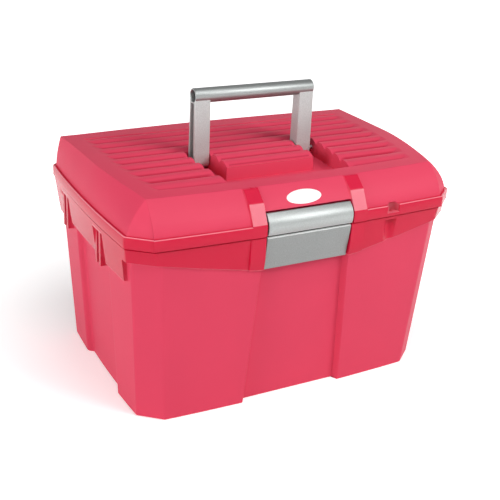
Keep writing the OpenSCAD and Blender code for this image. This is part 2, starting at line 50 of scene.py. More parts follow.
LONG_PANEL_IN, LONG_PANEL_HALF, LONG_PANEL_TAPER, LONG_PANEL_RUN = 8.5, 62.0, 9.0, 2.2
END_PANEL_IN, END_PANEL_HALF, END_PANEL_RUN, END_PANEL_TOP = 6.3, 52.0, 7.0, 166.0
BAY_HALF, PILLAR_HALF, BAY_Y, BAY_Z = 51.4, 68.9, -124.5, 166.5
COLLAR_LATCH_Z, COLLAR_CORNER_Z, COLLAR_MID_Z, COLLAR_END_Z = 164.5, 187.0, 166.0, 162.0
COLLAR_LEVEL, PILLAR_FACE_Y, PILLAR_FOOT_Y, PILLAR_TOE = 56.4, -137.6, -135.3, 13.0
FIN_BACKS, FIN_W, FIN_GAP, FIN_OPEN, FIN_FACE = (-28.0, 81.0), 6.0, 5.0, 9.0, 195.0
FIN_Z, BREAK_Z, NOTCH_Y = 155.0, 195.0, -104.0
EYE_X, EYE_Y, EYE_R, EYE_BOSS, EYE_LUG_Z, EYE_LEAN = 104.0, -136.0, 7.8, 10.6, 198.5, 0.16
HINGE_Y, HINGE_X, KNUCKLE_R, PIN_BORE_R = 146.0, 110.0, 5.49, 2.25
FOOT_Z, EDGE_HALF, LUG_HALF, INSET_CUT, BOW_FOOT = 1.2, 0.4, 0.3, 0.6, 0.8
COLLAR_LOW_OFF, COLLAR_LOW_BOW = (3.8, 1.4, 2.3, 0.8), 0.96
COLLAR_TOP_OFF, RIM_IN_OFF = (-1.2, -2.5, -0.7, -1.5), (-4.2, -5.5, -2.5, -3.3)
GROOVE_Z, GROOVE_IN, GROOVE_FACET = RIM_Z - 1.0, 1.2, 0.85
KNUCKLE_OFF, KNUCKLE_HALF, KNUCKLE_SHINE, TUB_WEB_Y, WEB_KNEE_Y = 18.5, 7.0, 0.6, 132.5, 138.0
# A polish of 1.5 on the collar's lower edge paints a highlight line along it.
INSIDE_SHINE, LIP_SHINE, COLLAR_EDGE_HIGHLIGHT = 0.2, 0.8, 1.5
MM, MERGE, SLIVER, SHARP_DEG = 0.001, 3e-6, 1e-6, 34.0
RASPBERRY, DEEP_RED = (0.72, 0.056, 0.114), (0.63, 0.01, 0.046)
# The first two colours on the next line are a painted highlight and painted shade, not the plastic's own
# colours.
PAINTED_HIGHLIGHT_RED, PAINTED_SHADE_RED, MOTTLE = (0.9, 0.3, 0.38), (0.46, 0.012, 0.042), (0.95, 1.05)


def both_sides(right):
    """A row of stations from their right half: mirrored to the left, in rising order."""
    right = np.asarray(right, float)
    left = -right[::-1]
    return np.concatenate([left[:-1] if right[0] == 0 else left, right])


def plan(part, a, hw, hd, cx, cy, bx, by, keep_x=125.0, keep_y=85.0):
    """Plan of the box at a level: part 0 front, 1 right facet at the front, 2 right end and so on round.
    hw and hd are its half width and depth, cx and cy the corner cuts, bx and by how far the sides bow out.
    On a side, a is the distance along it, stretched past a kept length to reach the corner, and the bow is
    a parabola. On a facet, a runs straight from 0 to 1."""
    f, e = hw - cx, hd - cy
    reach_x = np.clip((np.abs(a) - keep_x)/(BAND_HW - CORNER_X - keep_x), 0, 1)
    reach_y = np.clip((np.abs(a) - keep_y)/(BAND_HD - CORNER_Y - keep_y), 0, 1)
    x = a + np.sign(a)*(f - (BAND_HW - CORNER_X))*reach_x
    y = a + np.sign(a)*(e - (BAND_HD - CORNER_Y))*reach_y
    out_y = hd + by*(1 - (x/f)**2)
    out_x = hw + bx*(1 - (y/e)**2)
    fx, fy = f + (hw - f)*a, hd + (e - hd)*a
    gx, gy = hw + (f - hw)*a, e + (hd - e)*a
    on = [part == k for k in range(8)]
    px = np.select(on, [x, fx, out_x, gx, x, -fx, -out_x, -gx])
    py = np.select(on, [-out_y, -fy, y, gy, out_y, fy, y, -gy])
    return px, py


def offset_plan(part, a, half_w, half_d, off, bow=1.0):
    """Plan with offsets to half width, half depth and the two corner cuts, and a share of the bow."""
    return plan(part, a, half_w + off[0], half_d + off[1], CORNER_X + off[2], CORNER_Y + off[3],
                BOW_X*bow, BOW_Y*bow)


def smooth(t):
    """Soft step from 0 to 1: three t squared less two t cubed."""
    t = np.clip(t, 0, 1)
    return t*t*(3 - 2*t)


def quads(rows, cols, closed):
    """Corner numbers of the faces between neighbouring rows and columns of a grid."""
    last = cols if closed else cols - 1
    r, c = np.meshgrid(np.arange(rows - 1), np.arange(last), indexing="ij")
    d = (c + 1) % cols
    return np.stack([r*cols + c, r*cols + d, (r + 1)*cols + d, (r + 1)*cols + c], -1).reshape(-1, 4)


def make_piece(name, patches, material, body, nodes):
    """A closed mesh from patches (points in mm, closed round the columns or not, polish from 0 to 1, with up
    to
    2 for painted highlights on edges and -1 for painted shade in grooves): the seams are merged, the faces
    turned outwards, and edges that bend by more than an angle stay sharp."""
    points, faces, polish, start = [], [], [], 0
    for p, closed, shine in patches:
        rows, cols = p.shape[:2]
        points.append(p.reshape(-1, 3))
        polish.append(np.broadcast_to(shine, (rows, cols)).reshape(-1))
        faces.append(quads(rows, cols, closed) + start)
        start += rows*cols
    mesh = bpy.data.meshes.new(name)
    mesh.from_pydata((np.concatenate(points)*MM).tolist(), [], np.concatenate(faces).tolist())
    gloss = mesh.attributes.new("polish", "FLOAT", "POINT")
    gloss.data.foreach_set("value", np.concatenate(polish).astype(np.float32))
    work = bmesh.new()
    work.from_mesh(mesh)
    bmesh.ops.remove_doubles(work, verts=work.verts, dist=MERGE)
    bmesh.ops.dissolve_degenerate(work, edges=work.edges, dist=SLIVER)
    bmesh.ops.recalc_face_normals(work, faces=work.faces)
    work.to_mesh(mesh)
    work.free()
    mesh.shade_smooth()
    mesh.set_sharp_from_angle(angle=math.radians(SHARP_DEG))
    mesh.materials.append(material)
    piece = bpy.data.objects.new(name, mesh)
    bpy.context.scene.collection.objects.link(piece)
    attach(piece, body)
    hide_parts(*nodes)


def remap(tree, value, low, high, start=0.0, end=1.0, ease="LINEAR"):
    """Map Range node that takes a socket from start and end to low and high; gives its result."""
    node = tree.nodes.new("ShaderNodeMapRange")
    node.interpolation_type = ease
    for key, number in (("From Min", start), ("From Max", end), ("To Min", low), ("To Max", high)):
        node.inputs[key].default_value = number
    tree.links.new(value, node.inputs["Value"])
    return node.outputs["Result"]


def blend(tree, factor, first, second):
    """Mix node from a first colour to a second one, each plain or from a socket; gives its result."""
    node = tree.nodes.new("ShaderNodeMix")
    node.data_type = "RGBA"
    tree.links.new(factor, node.inputs["Factor"])
    for key, colour in (("A", first), ("B", second)):
        if isinstance(colour, tuple):
            node.inputs[key].default_value = (*colour, 1)
        else:
            tree.links.new(colour, node.inputs[key])
    return node.outputs["Result"]


def reckon(tree, operation, first, second):
    """Math node on two sockets; gives its result."""
    node = tree.nodes.new("ShaderNodeMath")
    node.operation = operation
    tree.links.new(first, node.inputs[0])
    tree.links.new(second, node.inputs[1])
    return node.outputs[0]


def empty_group(name, inputs, outputs):
    """Shader node group with named sockets: gives it, the sockets it is given and those it puts out."""
    group = bpy.data.node_groups.new(name, "ShaderNodeTree")
    for way, sockets in (("INPUT", inputs), ("OUTPUT", outputs)):
        for key, kind in sockets:
            group.interface.new_socket(key, in_out=way, socket_type=f"NodeSocket{kind}")
    return group, group.nodes.new("NodeGroupInput").outputs, group.nodes.new("NodeGroupOutput").inputs


def moulded_skin():
    """Node group: the pits that spark erosion leaves in a mould, a fine noise as height and a slow one as
    mottle."""
    group, given, result = empty_group("spark_eroded_skin", [("Vector", "Vector"), ("Grain", "Float")],
                                       [("Height", "Float"), ("Mottle", "Float")])
    fine = group.nodes.new("ShaderNodeTexNoise")
    fine.inputs["Detail"].default_value = 3.0
    fine.inputs["Roughness"].default_value = 0.65
    slow = group.nodes.new("ShaderNodeTexNoise")
    slow.inputs["Scale"].default_value = 14.0
    slow.inputs["Detail"].default_value = 2.0
    group.links.new(given["Vector"], fine.inputs["Vector"])
    group.links.new(given["Grain"], fine.inputs["Scale"])
    group.links.new(given["Vector"], slow.inputs["Vector"])
    group.links.new(fine.outputs["Fac"], result["Height"])
    group.links.new(slow.outputs["Fac"], result["Mottle"])
    return group


def painted_light_colour():
    """Node group: a colour that turns to a painted highlight as polish goes from 1 to 2, and to painted
    shade from 0 to -1.
    """
    colours = [(key, "Color") for key in ("Clean", "PaintedHighlight", "PaintedShade")]
    group, given, result = empty_group("painted_highlights_and_shade", [("Polish", "Float"), *colours],
                                       [("Painted", "Color")])
    highlight_share = remap(group, given["Polish"], 0.0, 1.0, 1.0, 2.0)
    painted_shade = remap(group, given["Polish"], 0.0, 1.0, 0.0, -1.0)
    painted_highlight = blend(group, highlight_share, given["Clean"], given["PaintedHighlight"])
    group.links.new(blend(group, painted_shade, painted_highlight, given["PaintedShade"]), result["Painted"])
    return group


SKIN, PAINTED_LIGHT_GROUP = moulded_skin(), painted_light_colour()


def new_material(name):
    """A node material: gives it, its node tree and its shader."""
    mat = bpy.data.materials.new(name)
    mat.use_nodes = True
    return mat, mat.node_tree, mat.node_tree.nodes["Principled BSDF"]


def skin_at(tree, grain):
    """The moulded skin over object coordinates at a grain; gives its height and its mottle."""
    where = tree.nodes.new("ShaderNodeTexCoord")
    node = tree.nodes.new("ShaderNodeGroup")
    node.node_tree = SKIN
    node.inputs["Grain"].default_value = grain
    tree.links.new(where.outputs["Object"], node.inputs["Vector"])
    return node.outputs["Height"], node.outputs["Mottle"]


def polish_of(tree):
    """The polish attribute of the mesh as a socket."""
    node = tree.nodes.new("ShaderNodeAttribute")
    node.attribute_name = "polish"
    return node.outputs["Fac"]


def paint_light(tree, polish, clean, painted_highlight, painted_shade_colour):
    """The painted light group on a clean colour from a socket, with its own painted highlight and painted
    shade colours.
    """
    node = tree.nodes.new("ShaderNodeGroup")
    node.node_tree = PAINTED_LIGHT_GROUP
    tree.links.new(polish, node.inputs["Polish"])
    tree.links.new(clean, node.inputs["Clean"])
    node.inputs["PaintedHighlight"].default_value = (*painted_highlight, 1)
    node.inputs["PaintedShade"].default_value = (*painted_shade_colour, 1)
    return node.outputs["Painted"]


def relief(tree, shader, height, strength, distance):
    """Bump node from a height to the shader's normal."""
    node = tree.nodes.new("ShaderNodeBump")
    node.inputs["Strength"].default_value = strength
    node.inputs["Distance"].default_value = distance
    tree.links.new(height, node.inputs["Height"])
    tree.links.new(node.outputs["Normal"], shader.inputs["Normal"])


def red_plastic(name):
    """Raspberry polypropylene: satin and pitted where the mould was eroded, smoother and deeper in colour
    where polish is 1, paled by painted light towards 2 on bright edges and in the padlock recess, and
    darkened by painted shade towards -1 in the rib valleys and the handle recess."""
    mat, tree, shader = new_material(name)
    shader.inputs["Specular IOR Level"].default_value = 0.16
    shader.inputs["Coat Roughness"].default_value = 0.1
    height, mottle = skin_at(tree, 900.0)
    polish = polish_of(tree)
    tint = blend(tree, mottle, *[tuple(c*share for c in RASPBERRY) for share in MOTTLE])
    deep = blend(tree, polish, tint, DEEP_RED)
    tree.links.new(paint_light(tree, polish, deep, PAINTED_HIGHLIGHT_RED, PAINTED_SHADE_RED), shader.inputs["Base Color"])
    tree.links.new(remap(tree, polish, 0.5, 0.24), shader.inputs["Roughness"])
    tree.links.new(remap(tree, polish, 0.0, 0.08), shader.inputs["Coat Weight"])
    depth = remap(tree, polish, 1.0, 0.12)
    relief(tree, shader, reckon(tree, "MULTIPLY", depth, height), 0.35, 0.0003)
    return mat


def even(rows, polish):
    """The same polish at every point of some rows."""
    return np.full(rows.shape[:2], polish)


def tub_columns():
    """Columns round the tub: part of the plan, and the distance along it at the base, under the collar and
    in the collar. Close pairs make the small edge radii of panels, pillars, fins and the padlock groove."""
    base = [0, 20, 40, 52, 59.2, 60.4, 61.5, 62.5, 66, 70.0, 70.6, 72]
    high = [0, 17, 34, 45, 50.2, 51.4, 52.5, 53.5, 60, 68.0, 68.9, 70.4]
    rim = [0, 17, 34, 46, 50.6, 51.2, 51.6, 52.4, 60, 67.9, 68.7, 69.1]
    eye = EYE_X + both_sides([0, 2.2, 4.4, 6.2, 7.1, 7.6, 8.0, 8.6, 11])
    rest = [78, 88, *eye, 122, 135, 148, 160, 167.5, 170.6]
    front = [both_sides(row + rest) for row in (base, high, rim)]
    edges = [b - d for b in FIN_BACKS for d in np.cumsum([0, FIN_W, FIN_GAP, FIN_W, FIN_OPEN])] + [NOTCH_Y]
    slope = both_sides(np.linspace(END_PANEL_HALF - END_PANEL_RUN - 0.6, END_PANEL_HALF + 0.6, 6))
    plain = [-113.7, -112.8, -109, -95, -80, -66, -57, -36.5, -31, -20, -5, 10, 25, 38, 59.5, 67, 72.5, 78,
             95, 104, 109, 112.8, 113.7]
    right = np.sort(np.concatenate([np.ravel([[e - 0.35, e + 0.35] for e in edges]), slope, plain]))
    facet = np.array([0.03, 0.06, 0.3, 0.7, 0.94, 0.97])
    runs = [(0, *front), (1, *[facet]*3), (2, *[right]*3), (3, *[facet]*3), (4, *[-f for f in front]),
            (5, *[facet]*3), (6, *[right[::-1]]*3), (7, *[facet]*3)]
    part = np.concatenate([np.full(len(r[1]), r[0]) for r in runs])
    return part, *[np.concatenate([r[k] for r in runs]) for k in (1, 2, 3)]


def tub_shell():
    """Tub as columns round the plan and rows from the floor's middle, up the outside, over the rim and down
    the inside. Two rows follow the collar's lower edge, which slants along the front and back."""
    part, a_base, a_high, a_rim = tub_columns()
    front, back = part == 0, part == 4
    ends = (part == 2) | (part == 6)
    span = np.abs(a_rim)
    slant = COLLAR_LATCH_Z + (COLLAR_CORNER_Z - COLLAR_LATCH_Z)*np.clip(
        (span - COLLAR_LEVEL)/(BAND_HW - CORNER_X - COLLAR_LEVEL), 0, 1)
    edge = np.where(front | back, slant, COLLAR_CORNER_Z)
    edge = np.where(front & (span < BAY_HALF), BAY_Z, edge)

    low, high, lug = COLLAR_CORNER_Z - EDGE_HALF, COLLAR_CORNER_Z + EDGE_HALF, EYE_LUG_Z - LUG_HALF
    pair = np.array([-EDGE_HALF, EDGE_HALF])
    level = np.concatenate([[FOOT_Z, 1.8, 18, 50, 85, 115, 140], FIN_Z + pair, COLLAR_END_Z + pair,
                            [COLLAR_END_Z + 1.2], COLLAR_MID_Z + pair, [COLLAR_MID_Z + 1.2, 176],
                            [low, high, 187.7, 191.1, 191.9], BREAK_Z + pair,
                            [lug, EYE_LUG_Z + LUG_HALF, 201.7, 202.1, 202.6]])[:, None]
    z = np.select([level < COLLAR_CORNER_Z, level < lug - 0.1],
                  [FOOT_Z + (level - FOOT_Z)*(edge - EDGE_HALF - FOOT_Z)/(low - FOOT_Z),
                   edge + EDGE_HALF + (level - high)*(lug - EDGE_HALF - edge)/(lug - high)], level + 0*edge)

    def wall(z, inward):
        """Drafted wall at a height, moved in: half width and half depth grow evenly with the height. Its
        panels are sunk parallel to it, with straight ramps on the long sides and soft steps on the ends."""
        k = z/RIM_Z
        share = BOW_FOOT + (1 - BOW_FOOT)*k
        half_w, half_d = BASE_HW + (WALL_HW - BASE_HW)*k, BASE_HD + (WALL_HD - BASE_HD)*k
        a = a_base + (a_high - a_base)*np.clip(z/BAY_Z, 0, 1)
        x, y = plan(part, a, half_w - inward, half_d - inward, CORNER_X - INSET_CUT*inward,
                    CORNER_Y - INSET_CUT*inward, BOW_X*share, BOW_Y*share)
        floor = half_d + BOW_Y*share - LONG_PANEL_IN - inward
        half = LONG_PANEL_HALF - LONG_PANEL_TAPER*z/BAY_Z - LONG_PANEL_RUN + inward
        sunk = floor + np.clip(np.abs(x) - half, 0, None)*LONG_PANEL_IN/LONG_PANEL_RUN
        low = z < BAY_Z + inward
        y = np.where((front | back) & low, np.sign(y)*np.minimum(np.abs(y), sunk), y)
        dip = END_PANEL_IN*smooth((END_PANEL_HALF + inward - np.abs(a))/END_PANEL_RUN)
        x = np.where(ends & (z < END_PANEL_TOP + inward), x - np.sign(x)*dip, x)
        return x, y

    def collar(z):
        """Flared collar: a straight blend from just outside the wall at its lowest to just inside the lid
        band at the rim. The pillars lean out to their face over a toe, and the bay between them is flat."""
        k = np.clip((z - COLLAR_END_Z)/(RIM_Z - COLLAR_END_Z), 0, 1)
        kw = COLLAR_END_Z/RIM_Z
        half_w, half_d = BASE_HW + (WALL_HW - BASE_HW)*kw, BASE_HD + (WALL_HD - BASE_HD)*kw
        low = offset_plan(part, a_rim, half_w, half_d, COLLAR_LOW_OFF, COLLAR_LOW_BOW)
        top = offset_plan(part, a_rim, BAND_HW, BAND_HD, COLLAR_TOP_OFF)
        x, y = low[0] + (top[0] - low[0])*k, low[1] + (top[1] - low[1])*k
        toe = np.clip((z - COLLAR_LATCH_Z)/PILLAR_TOE, 0, 1)
        pillar = PILLAR_FOOT_Y + (PILLAR_FACE_Y - PILLAR_FOOT_Y)*toe
        y = np.where(front & (span > BAY_HALF) & (span < PILLAR_HALF), np.minimum(y, pillar), y)
        y = np.where(front & (span < BAY_HALF), BAY_Y, y)
        return x, y

    def eye(x, y, z, r, lean):
        """Half-round groove of the padlock eye, cut into the front: a cylinder that leans out as it goes
        down."""
        dip = EYE_Y - lean*(EYE_LUG_Z - z) + np.sqrt(np.clip(r*r - (x - EYE_X)**2, 0, None))
        return np.where(front & (np.abs(x - EYE_X) < r), np.maximum(y, dip), y)

    wall_x, wall_y = wall(z, 0.0)
    rise_x, rise_y = collar(z)
    off = np.stack([b - a_rim for b in FIN_BACKS])
    first = (off > 0) & (off < FIN_W)
    second = (off > FIN_W + FIN_GAP) & (off < 2*FIN_W + FIN_GAP)
    fin = ends & (first | second).any(0)
    opened = ends & ((off > 0) & (off < 2*FIN_W + FIN_GAP + FIN_OPEN)).any(0)
    middle = ends & (a_rim > FIN_BACKS[0]) & (a_rim < FIN_BACKS[1] - 2*FIN_W - FIN_GAP - FIN_OPEN)
    notch = ends & (a_rim < NOTCH_Y)
    lowest = np.select([opened, middle, notch, ends],
                       [BREAK_Z, COLLAR_MID_Z, COLLAR_CORNER_Z, COLLAR_END_Z], edge)
    raised = z > lowest
    x, y = np.where(raised, rise_x, wall_x), np.where(raised, rise_y, wall_y)
    groove = (z > GROOVE_Z) & raised
    sides = [front | back, ends]
    y = np.where(groove, y - np.sign(y)*np.select(sides, [GROOVE_IN, 0.0], GROOVE_FACET), y)
    x = np.where(groove, x - np.sign(x)*np.select(sides, [0.0, GROOVE_IN], GROOVE_FACET), x)
    standing = fin & (z > FIN_Z) & (z < BREAK_Z)
    x = np.where(standing, np.sign(x)*FIN_FACE, x)
    y = np.where(z < EYE_LUG_Z, eye(x, y, z, EYE_R, EYE_LEAN), y)
    outside = np.stack([x, y, z], -1)

    in_x, in_y = offset_plan(part, a_rim, BAND_HW, BAND_HD, RIM_IN_OFF)
    bay_in = front & (span < BAY_HALF + TUB_WALL)
    in_y = np.where(bay_in, BAY_Y + TUB_WALL, in_y)
    in_y = eye(in_x, in_y, EYE_LUG_Z, EYE_BOSS, 0.0)
    share = np.array([[0.25], [0.85]])
    lip = np.stack([x[-1] + (in_x - x[-1])*share, y[-1] + (in_y - y[-1])*share,
                    RIM_Z + 0*in_x + 0*share], -1)
    height = np.array([[RIM_Z - 0.6], [LEDGE_Z + 0.4]])
    rim = np.stack([in_x + 0*height, in_y + 0*height, height + 0*in_x], -1)
    depth = np.array([LEDGE_Z - 0.1, 180, 168, 160, 120, 80, 40, 8, 4.6])[:, None] + 0*in_x
    ins_x, ins_y = wall(depth, TUB_WALL)
    ins_y = np.where(bay_in & (depth > BAY_Z - TUB_WALL), np.maximum(ins_y, BAY_Y + TUB_WALL), ins_y)
    ins_y = np.where(depth > 170, eye(ins_x, ins_y, EYE_LUG_Z, EYE_BOSS, 0.0), ins_y)
    inside = np.stack([ins_x, ins_y, depth], -1)
    shrink = np.array([0.985, 0.6, 0.25, 0.0])[:, None]
    floor = np.stack([ins_x[-1]*shrink, ins_y[-1]*shrink, TUB_FLOOR + 0*shrink*in_x], -1)
    grow = np.array([0.0, 0.3, 0.7, 0.992])[:, None]
    under = np.stack([x[0]*grow, y[0]*grow, 0*grow*in_x], -1)
    # The row where the collar rises off the wall gets a painted highlight line.
    rising = np.zeros_like(raised)
    rising[1:] = raised[1:] & ~raised[:-1]
    glossy = np.where(rising, COLLAR_EDGE_HIGHLIGHT, np.where(raised | standing, 1.0, 0.0))
    shell = np.concatenate([under, outside, lip, rim, inside, floor])
    shine = np.concatenate([even(under, 0.0), glossy, even(lip, LIP_SHINE),
                            *[even(rows, INSIDE_SHINE) for rows in (rim, inside, floor)]])
    return shell, shine


def ring_x(x0, x1, y, z, r_out, r_in, turns=40, ease=0.5):
    """Tube along X with eased ends: a closed profile of length and radius, turned about the axis."""
    prof = np.array([[x0, r_in], [x0, r_out - ease], [x0 + ease, r_out], [x1 - ease, r_out],
                     [x1, r_out - ease], [x1, r_in], [x0, r_in]])
    t = np.linspace(0, 2*np.pi, turns, endpoint=False)
    return np.stack([prof[:, :1] + 0*t, y + prof[:, 1:]*np.cos(t), z + prof[:, 1:]*np.sin(t)], -1)


def rounded_bar(x0, x1, profile, ease=0.5):
    """A closed profile of Y and Z carried along X, its ends drawn in a little and closed on the middle."""
    p = np.asarray(profile, float)
    mid = p.mean(0)
    far = np.maximum(np.linalg.norm(p - mid, axis=1, keepdims=True), 1e-6)
    drawn = p + (mid - p)*np.minimum(1, ease/far)
    rows = [(x0, mid + 0*p), (x0, drawn), (x0 + ease, p), (x1 - ease, p), (x1, drawn), (x1, mid + 0*p)]
    return np.stack([np.concatenate([np.full((len(p), 1), x), q], 1) for x, q in rows])


red_skin = red_plastic("raspberry_polypropylene")
tub_rows, tub_shine = tub_shell()
tub_patches = [(tub_rows, True, tub_shine)]
for middle in [side + off for side in (-HINGE_X, HINGE_X) for off in (-KNUCKLE_OFF, KNUCKLE_OFF)]:
    ends = middle - KNUCKLE_HALF, middle + KNUCKLE_HALF
    tub_patches.append((ring_x(*ends, HINGE_Y, RIM_Z, KNUCKLE_R, PIN_BORE_R), True, KNUCKLE_SHINE))
    web = [[TUB_WEB_Y, RIM_Z - 0.2], [TUB_WEB_Y, RIM_Z - 9], [WEB_KNEE_Y, RIM_Z - 7],
           [HINGE_Y - 2, RIM_Z - 5.2], [HINGE_Y - 2.6, RIM_Z - 0.2]]
    tub_patches.append((rounded_bar(*ends, web), True, KNUCKLE_SHINE))
make_piece("tub_shell", tub_patches, red_skin, "tub", ["tub"])


# Pins: plain lengths of drawn steel wire, two through the hinge knuckles at the back, one through the
# latch and two through the feet of the handle. They stay as the CAD solids and get a drawn-steel finish.
WIRE_DARK, WIRE_LIGHT = (0.42, 0.42, 0.44), (0.62, 0.62, 0.63)


def drawn_steel(name):
    """Bright drawn wire: fine streaks along the pin in roughness and tone."""
    mat, tree, shader = new_material(name)
    shader.inputs["Metallic"].default_value = 1.0
    where = tree.nodes.new("ShaderNodeTexCoord")
    stretch = tree.nodes.new("ShaderNodeMapping")
    stretch.inputs["Scale"].default_value = (40.0, 1500.0, 1500.0)
    noise = tree.nodes.new("ShaderNodeTexNoise")
    noise.inputs["Scale"].default_value = 1.0
    tree.links.new(where.outputs["Object"], stretch.inputs["Vector"])
    tree.links.new(stretch.outputs["Vector"], noise.inputs["Vector"])
    streak = noise.outputs["Fac"]
    tree.links.new(blend(tree, streak, WIRE_DARK, WIRE_LIGHT), shader.inputs["Base Color"])
    tree.links.new(remap(tree, streak, 0.24, 0.42), shader.inputs["Roughness"])
    return mat


def dress(node, material):
    """Gives a CAD solid its finish in every material slot."""
    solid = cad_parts[node]
    if not solid.material_slots:
        solid.data.materials.append(material)
    for place in solid.material_slots:
        place.material = material


pin_steel = drawn_steel("drawn_steel_wire")
for pin in ("hinge_pin_left", "hinge_pin_right", "latch_pin", "handle_pin_left", "handle_pin_right"):
    dress(pin, pin_steel)


# Tray: a grey moulded lift-out insert that rests on the ledge inside the tub.
# It keeps its CAD solid, with a fine-grained matte finish.
TRAY_DARK, TRAY_LIGHT = (0.07, 0.072, 0.078), (0.1, 0.102, 0.11)


def grey_plastic(name):
    """Dark grey polypropylene with the same eroded skin as the shell, a little finer."""
    mat, tree, shader = new_material(name)
    height, mottle = skin_at(tree, 1100.0)
    tree.links.new(blend(tree, mottle, TRAY_DARK, TRAY_LIGHT), shader.inputs["Base Color"])
    tree.links.new(remap(tree, mottle, 0.5, 0.66), shader.inputs["Roughness"])
    relief(tree, shader, height, 0.3, 0.0003)
    return mat


dress("tray", grey_plastic("tray_polypropylene"))


# Lid: one moulded shell of the same red polypropylene. A polished band closes over the collar,
# the sides lean in to a crease, and the barrel top carries a field of ribs round the handle recess.
# It turns on the hinge pins at the back.
LID_Z, BAND_Z, TOP_Z = 203.5, 216.3, 252.5
CREASE_HW, CREASE_HD, BACK_HW, FLANK_HW = 169.1, 107.0, 186.1, 185.2
LID_WALL, STEP_W, RIB_DEPTH, RIB_COUNT, RIB_RAMP, RIB_STEPS = 2.8, 3.5, 4.3, 9, 0.26, 12
RIB_FRONT, RIB_HEEL, FIELD_IN, EDGE = 0.46, 0.74, 19.0, 0.6
FIELD_FRONT, FIELD_BACK = -89.0, 87.0
RIB_PITCH = 2*FIELD_BACK/RIB_COUNT
FIRST_VALLEY, BLOCK_FRONT = RIB_PITCH - FIELD_BACK, 2*RIB_PITCH - FIELD_BACK
BLOCK_HALF, RECESS_HALF, RECESS_BACK, RECESS_Z = 54.5, 78.5, 11.5, 233.5
CHEEK_BACK, CHEEK_BOW, CHEEK_START, CHEEK_RUN, BEND_IN, BEND_OUT = 80.4, 6.2, -20.0, 62.0, 69.4, 92.0
# Painted shade in the recess and on each rib's lower front, and a painted highlight on the block's front
# edge.
RECESS_SHADE, RIB_SHADE, SHADE_FROM, SHADE_RUN, BLOCK_EDGE_HIGHLIGHT = -0.25, -0.9, 0.36, 0.26, 1.6
FRONT_Y, BAY_TOP, KNEE_Y, KNEE_Z = -140.0, 227.5, -128.5, 236.4
POST_FACE_Y = FRONT_Y + 0.8
POST_Z, POST_Y = (BAND_Z, KNEE_Z, 247.8, 248.4), (POST_FACE_Y, KNEE_Y, -114.5, -108.0)
# The padlock recess's polish of 1.4 is painted light that lifts its shade.
DOME_START, DOME_PULL, EYE_PAINTED_LIGHT, LID_KNUCKLE_HALF, LID_WEB_Y = 1.5, 2.8, 1.4, 11.0, 133.3
LID_KEEP_X, LID_KEEP_Y, VAULT_Z = 118.0, 10.0, BAND_Z - 2.0
LID_FACET = (0.03, 0.06, 0.35, 0.65, 0.94, 0.97)
INSIDE_KEEP_X, INSIDE_KEEP_FRONT, INSIDE_KEEP_BACK, FAR = 130.0, -99.0, 60.0, 999.0
FALL_FRONT, FALL_BACK, FLANK_EASE = 4.5, 1.6, 1.5
LUG_TOP, EYE_HOLE_Y, EYE_HOLE_R, EYE_HOLE_DEEP = 208.0, -131.7, 2.6, 2.4


def crown(y):
    """Barrel top: a parabola that falls more from the middle to the front crease than to the back."""
    return TOP_Z - np.where(y < 0, FALL_FRONT, FALL_BACK)*(y/(CREASE_HD + BOW_Y))**2


def lean(t):
    """Share of the dome's inward run at a share t of its height: 0.3 of t and 0.7 of t squared."""
    return 0.3*t + 0.7*t*t


def flank(y):
    """Half width of the top: a power of 1.5 leads to the front corners and a square to the back ones."""
    t = np.clip(y/(CREASE_HD - FLANK_EASE), -1, 1)
    front = FLANK_HW - (FLANK_HW - CREASE_HW - FLANK_EASE)*np.abs(t)**1.5
    back = FLANK_HW - (FLANK_HW - BACK_HW - FLANK_EASE)*t**2
    return np.where(t < 0, front, back)


def top_lines():
    """Lines across the top in Y: border, twelve steps for each rib, border, with close pairs at each edge.
    Gives the place, the share of the front's bow that a line takes, and where it lies across its rib."""
    border = np.array([1.0, 0.95, 0.86, 0.62, 0.3, 0.09])
    steps = np.arange(RIB_COUNT*RIB_STEPS + 1)*RIB_PITCH/RIB_STEPS - FIELD_BACK
    wide = FIELD_FRONT + (FIRST_VALLEY - FIELD_FRONT)*np.arange(RIB_STEPS)/RIB_STEPS
    field = np.concatenate([wide, steps[steps > FIRST_VALLEY - 0.01]])
    breaks = np.array([FIELD_FRONT, BLOCK_FRONT, RECESS_BACK, FIELD_BACK])
    clear = np.min(np.abs(field[:, None] - breaks), 1) > 0.9
    line = np.sort(np.concatenate([FIELD_FRONT - EDGE - (CREASE_HD + FIELD_FRONT - EDGE)*border,
                                   FIELD_BACK + EDGE + (CREASE_HD - FIELD_BACK - EDGE)*border,
                                   field[clear], breaks - EDGE, breaks + EDGE, [BLOCK_FRONT + 0.45]]))
    first = line < FIRST_VALLEY
    share = np.where(first, np.clip((FIRST_VALLEY - line)/(FIRST_VALLEY - FIELD_FRONT), 0, 1),
                     np.clip((line - FIELD_BACK)/(CREASE_HD - FIELD_BACK), 0, 1))
    across = np.where(first, (line - FIELD_FRONT)/(FIRST_VALLEY - FIELD_FRONT),
                      ((line + FIELD_BACK)/RIB_PITCH) % 1)
    return line, share, across


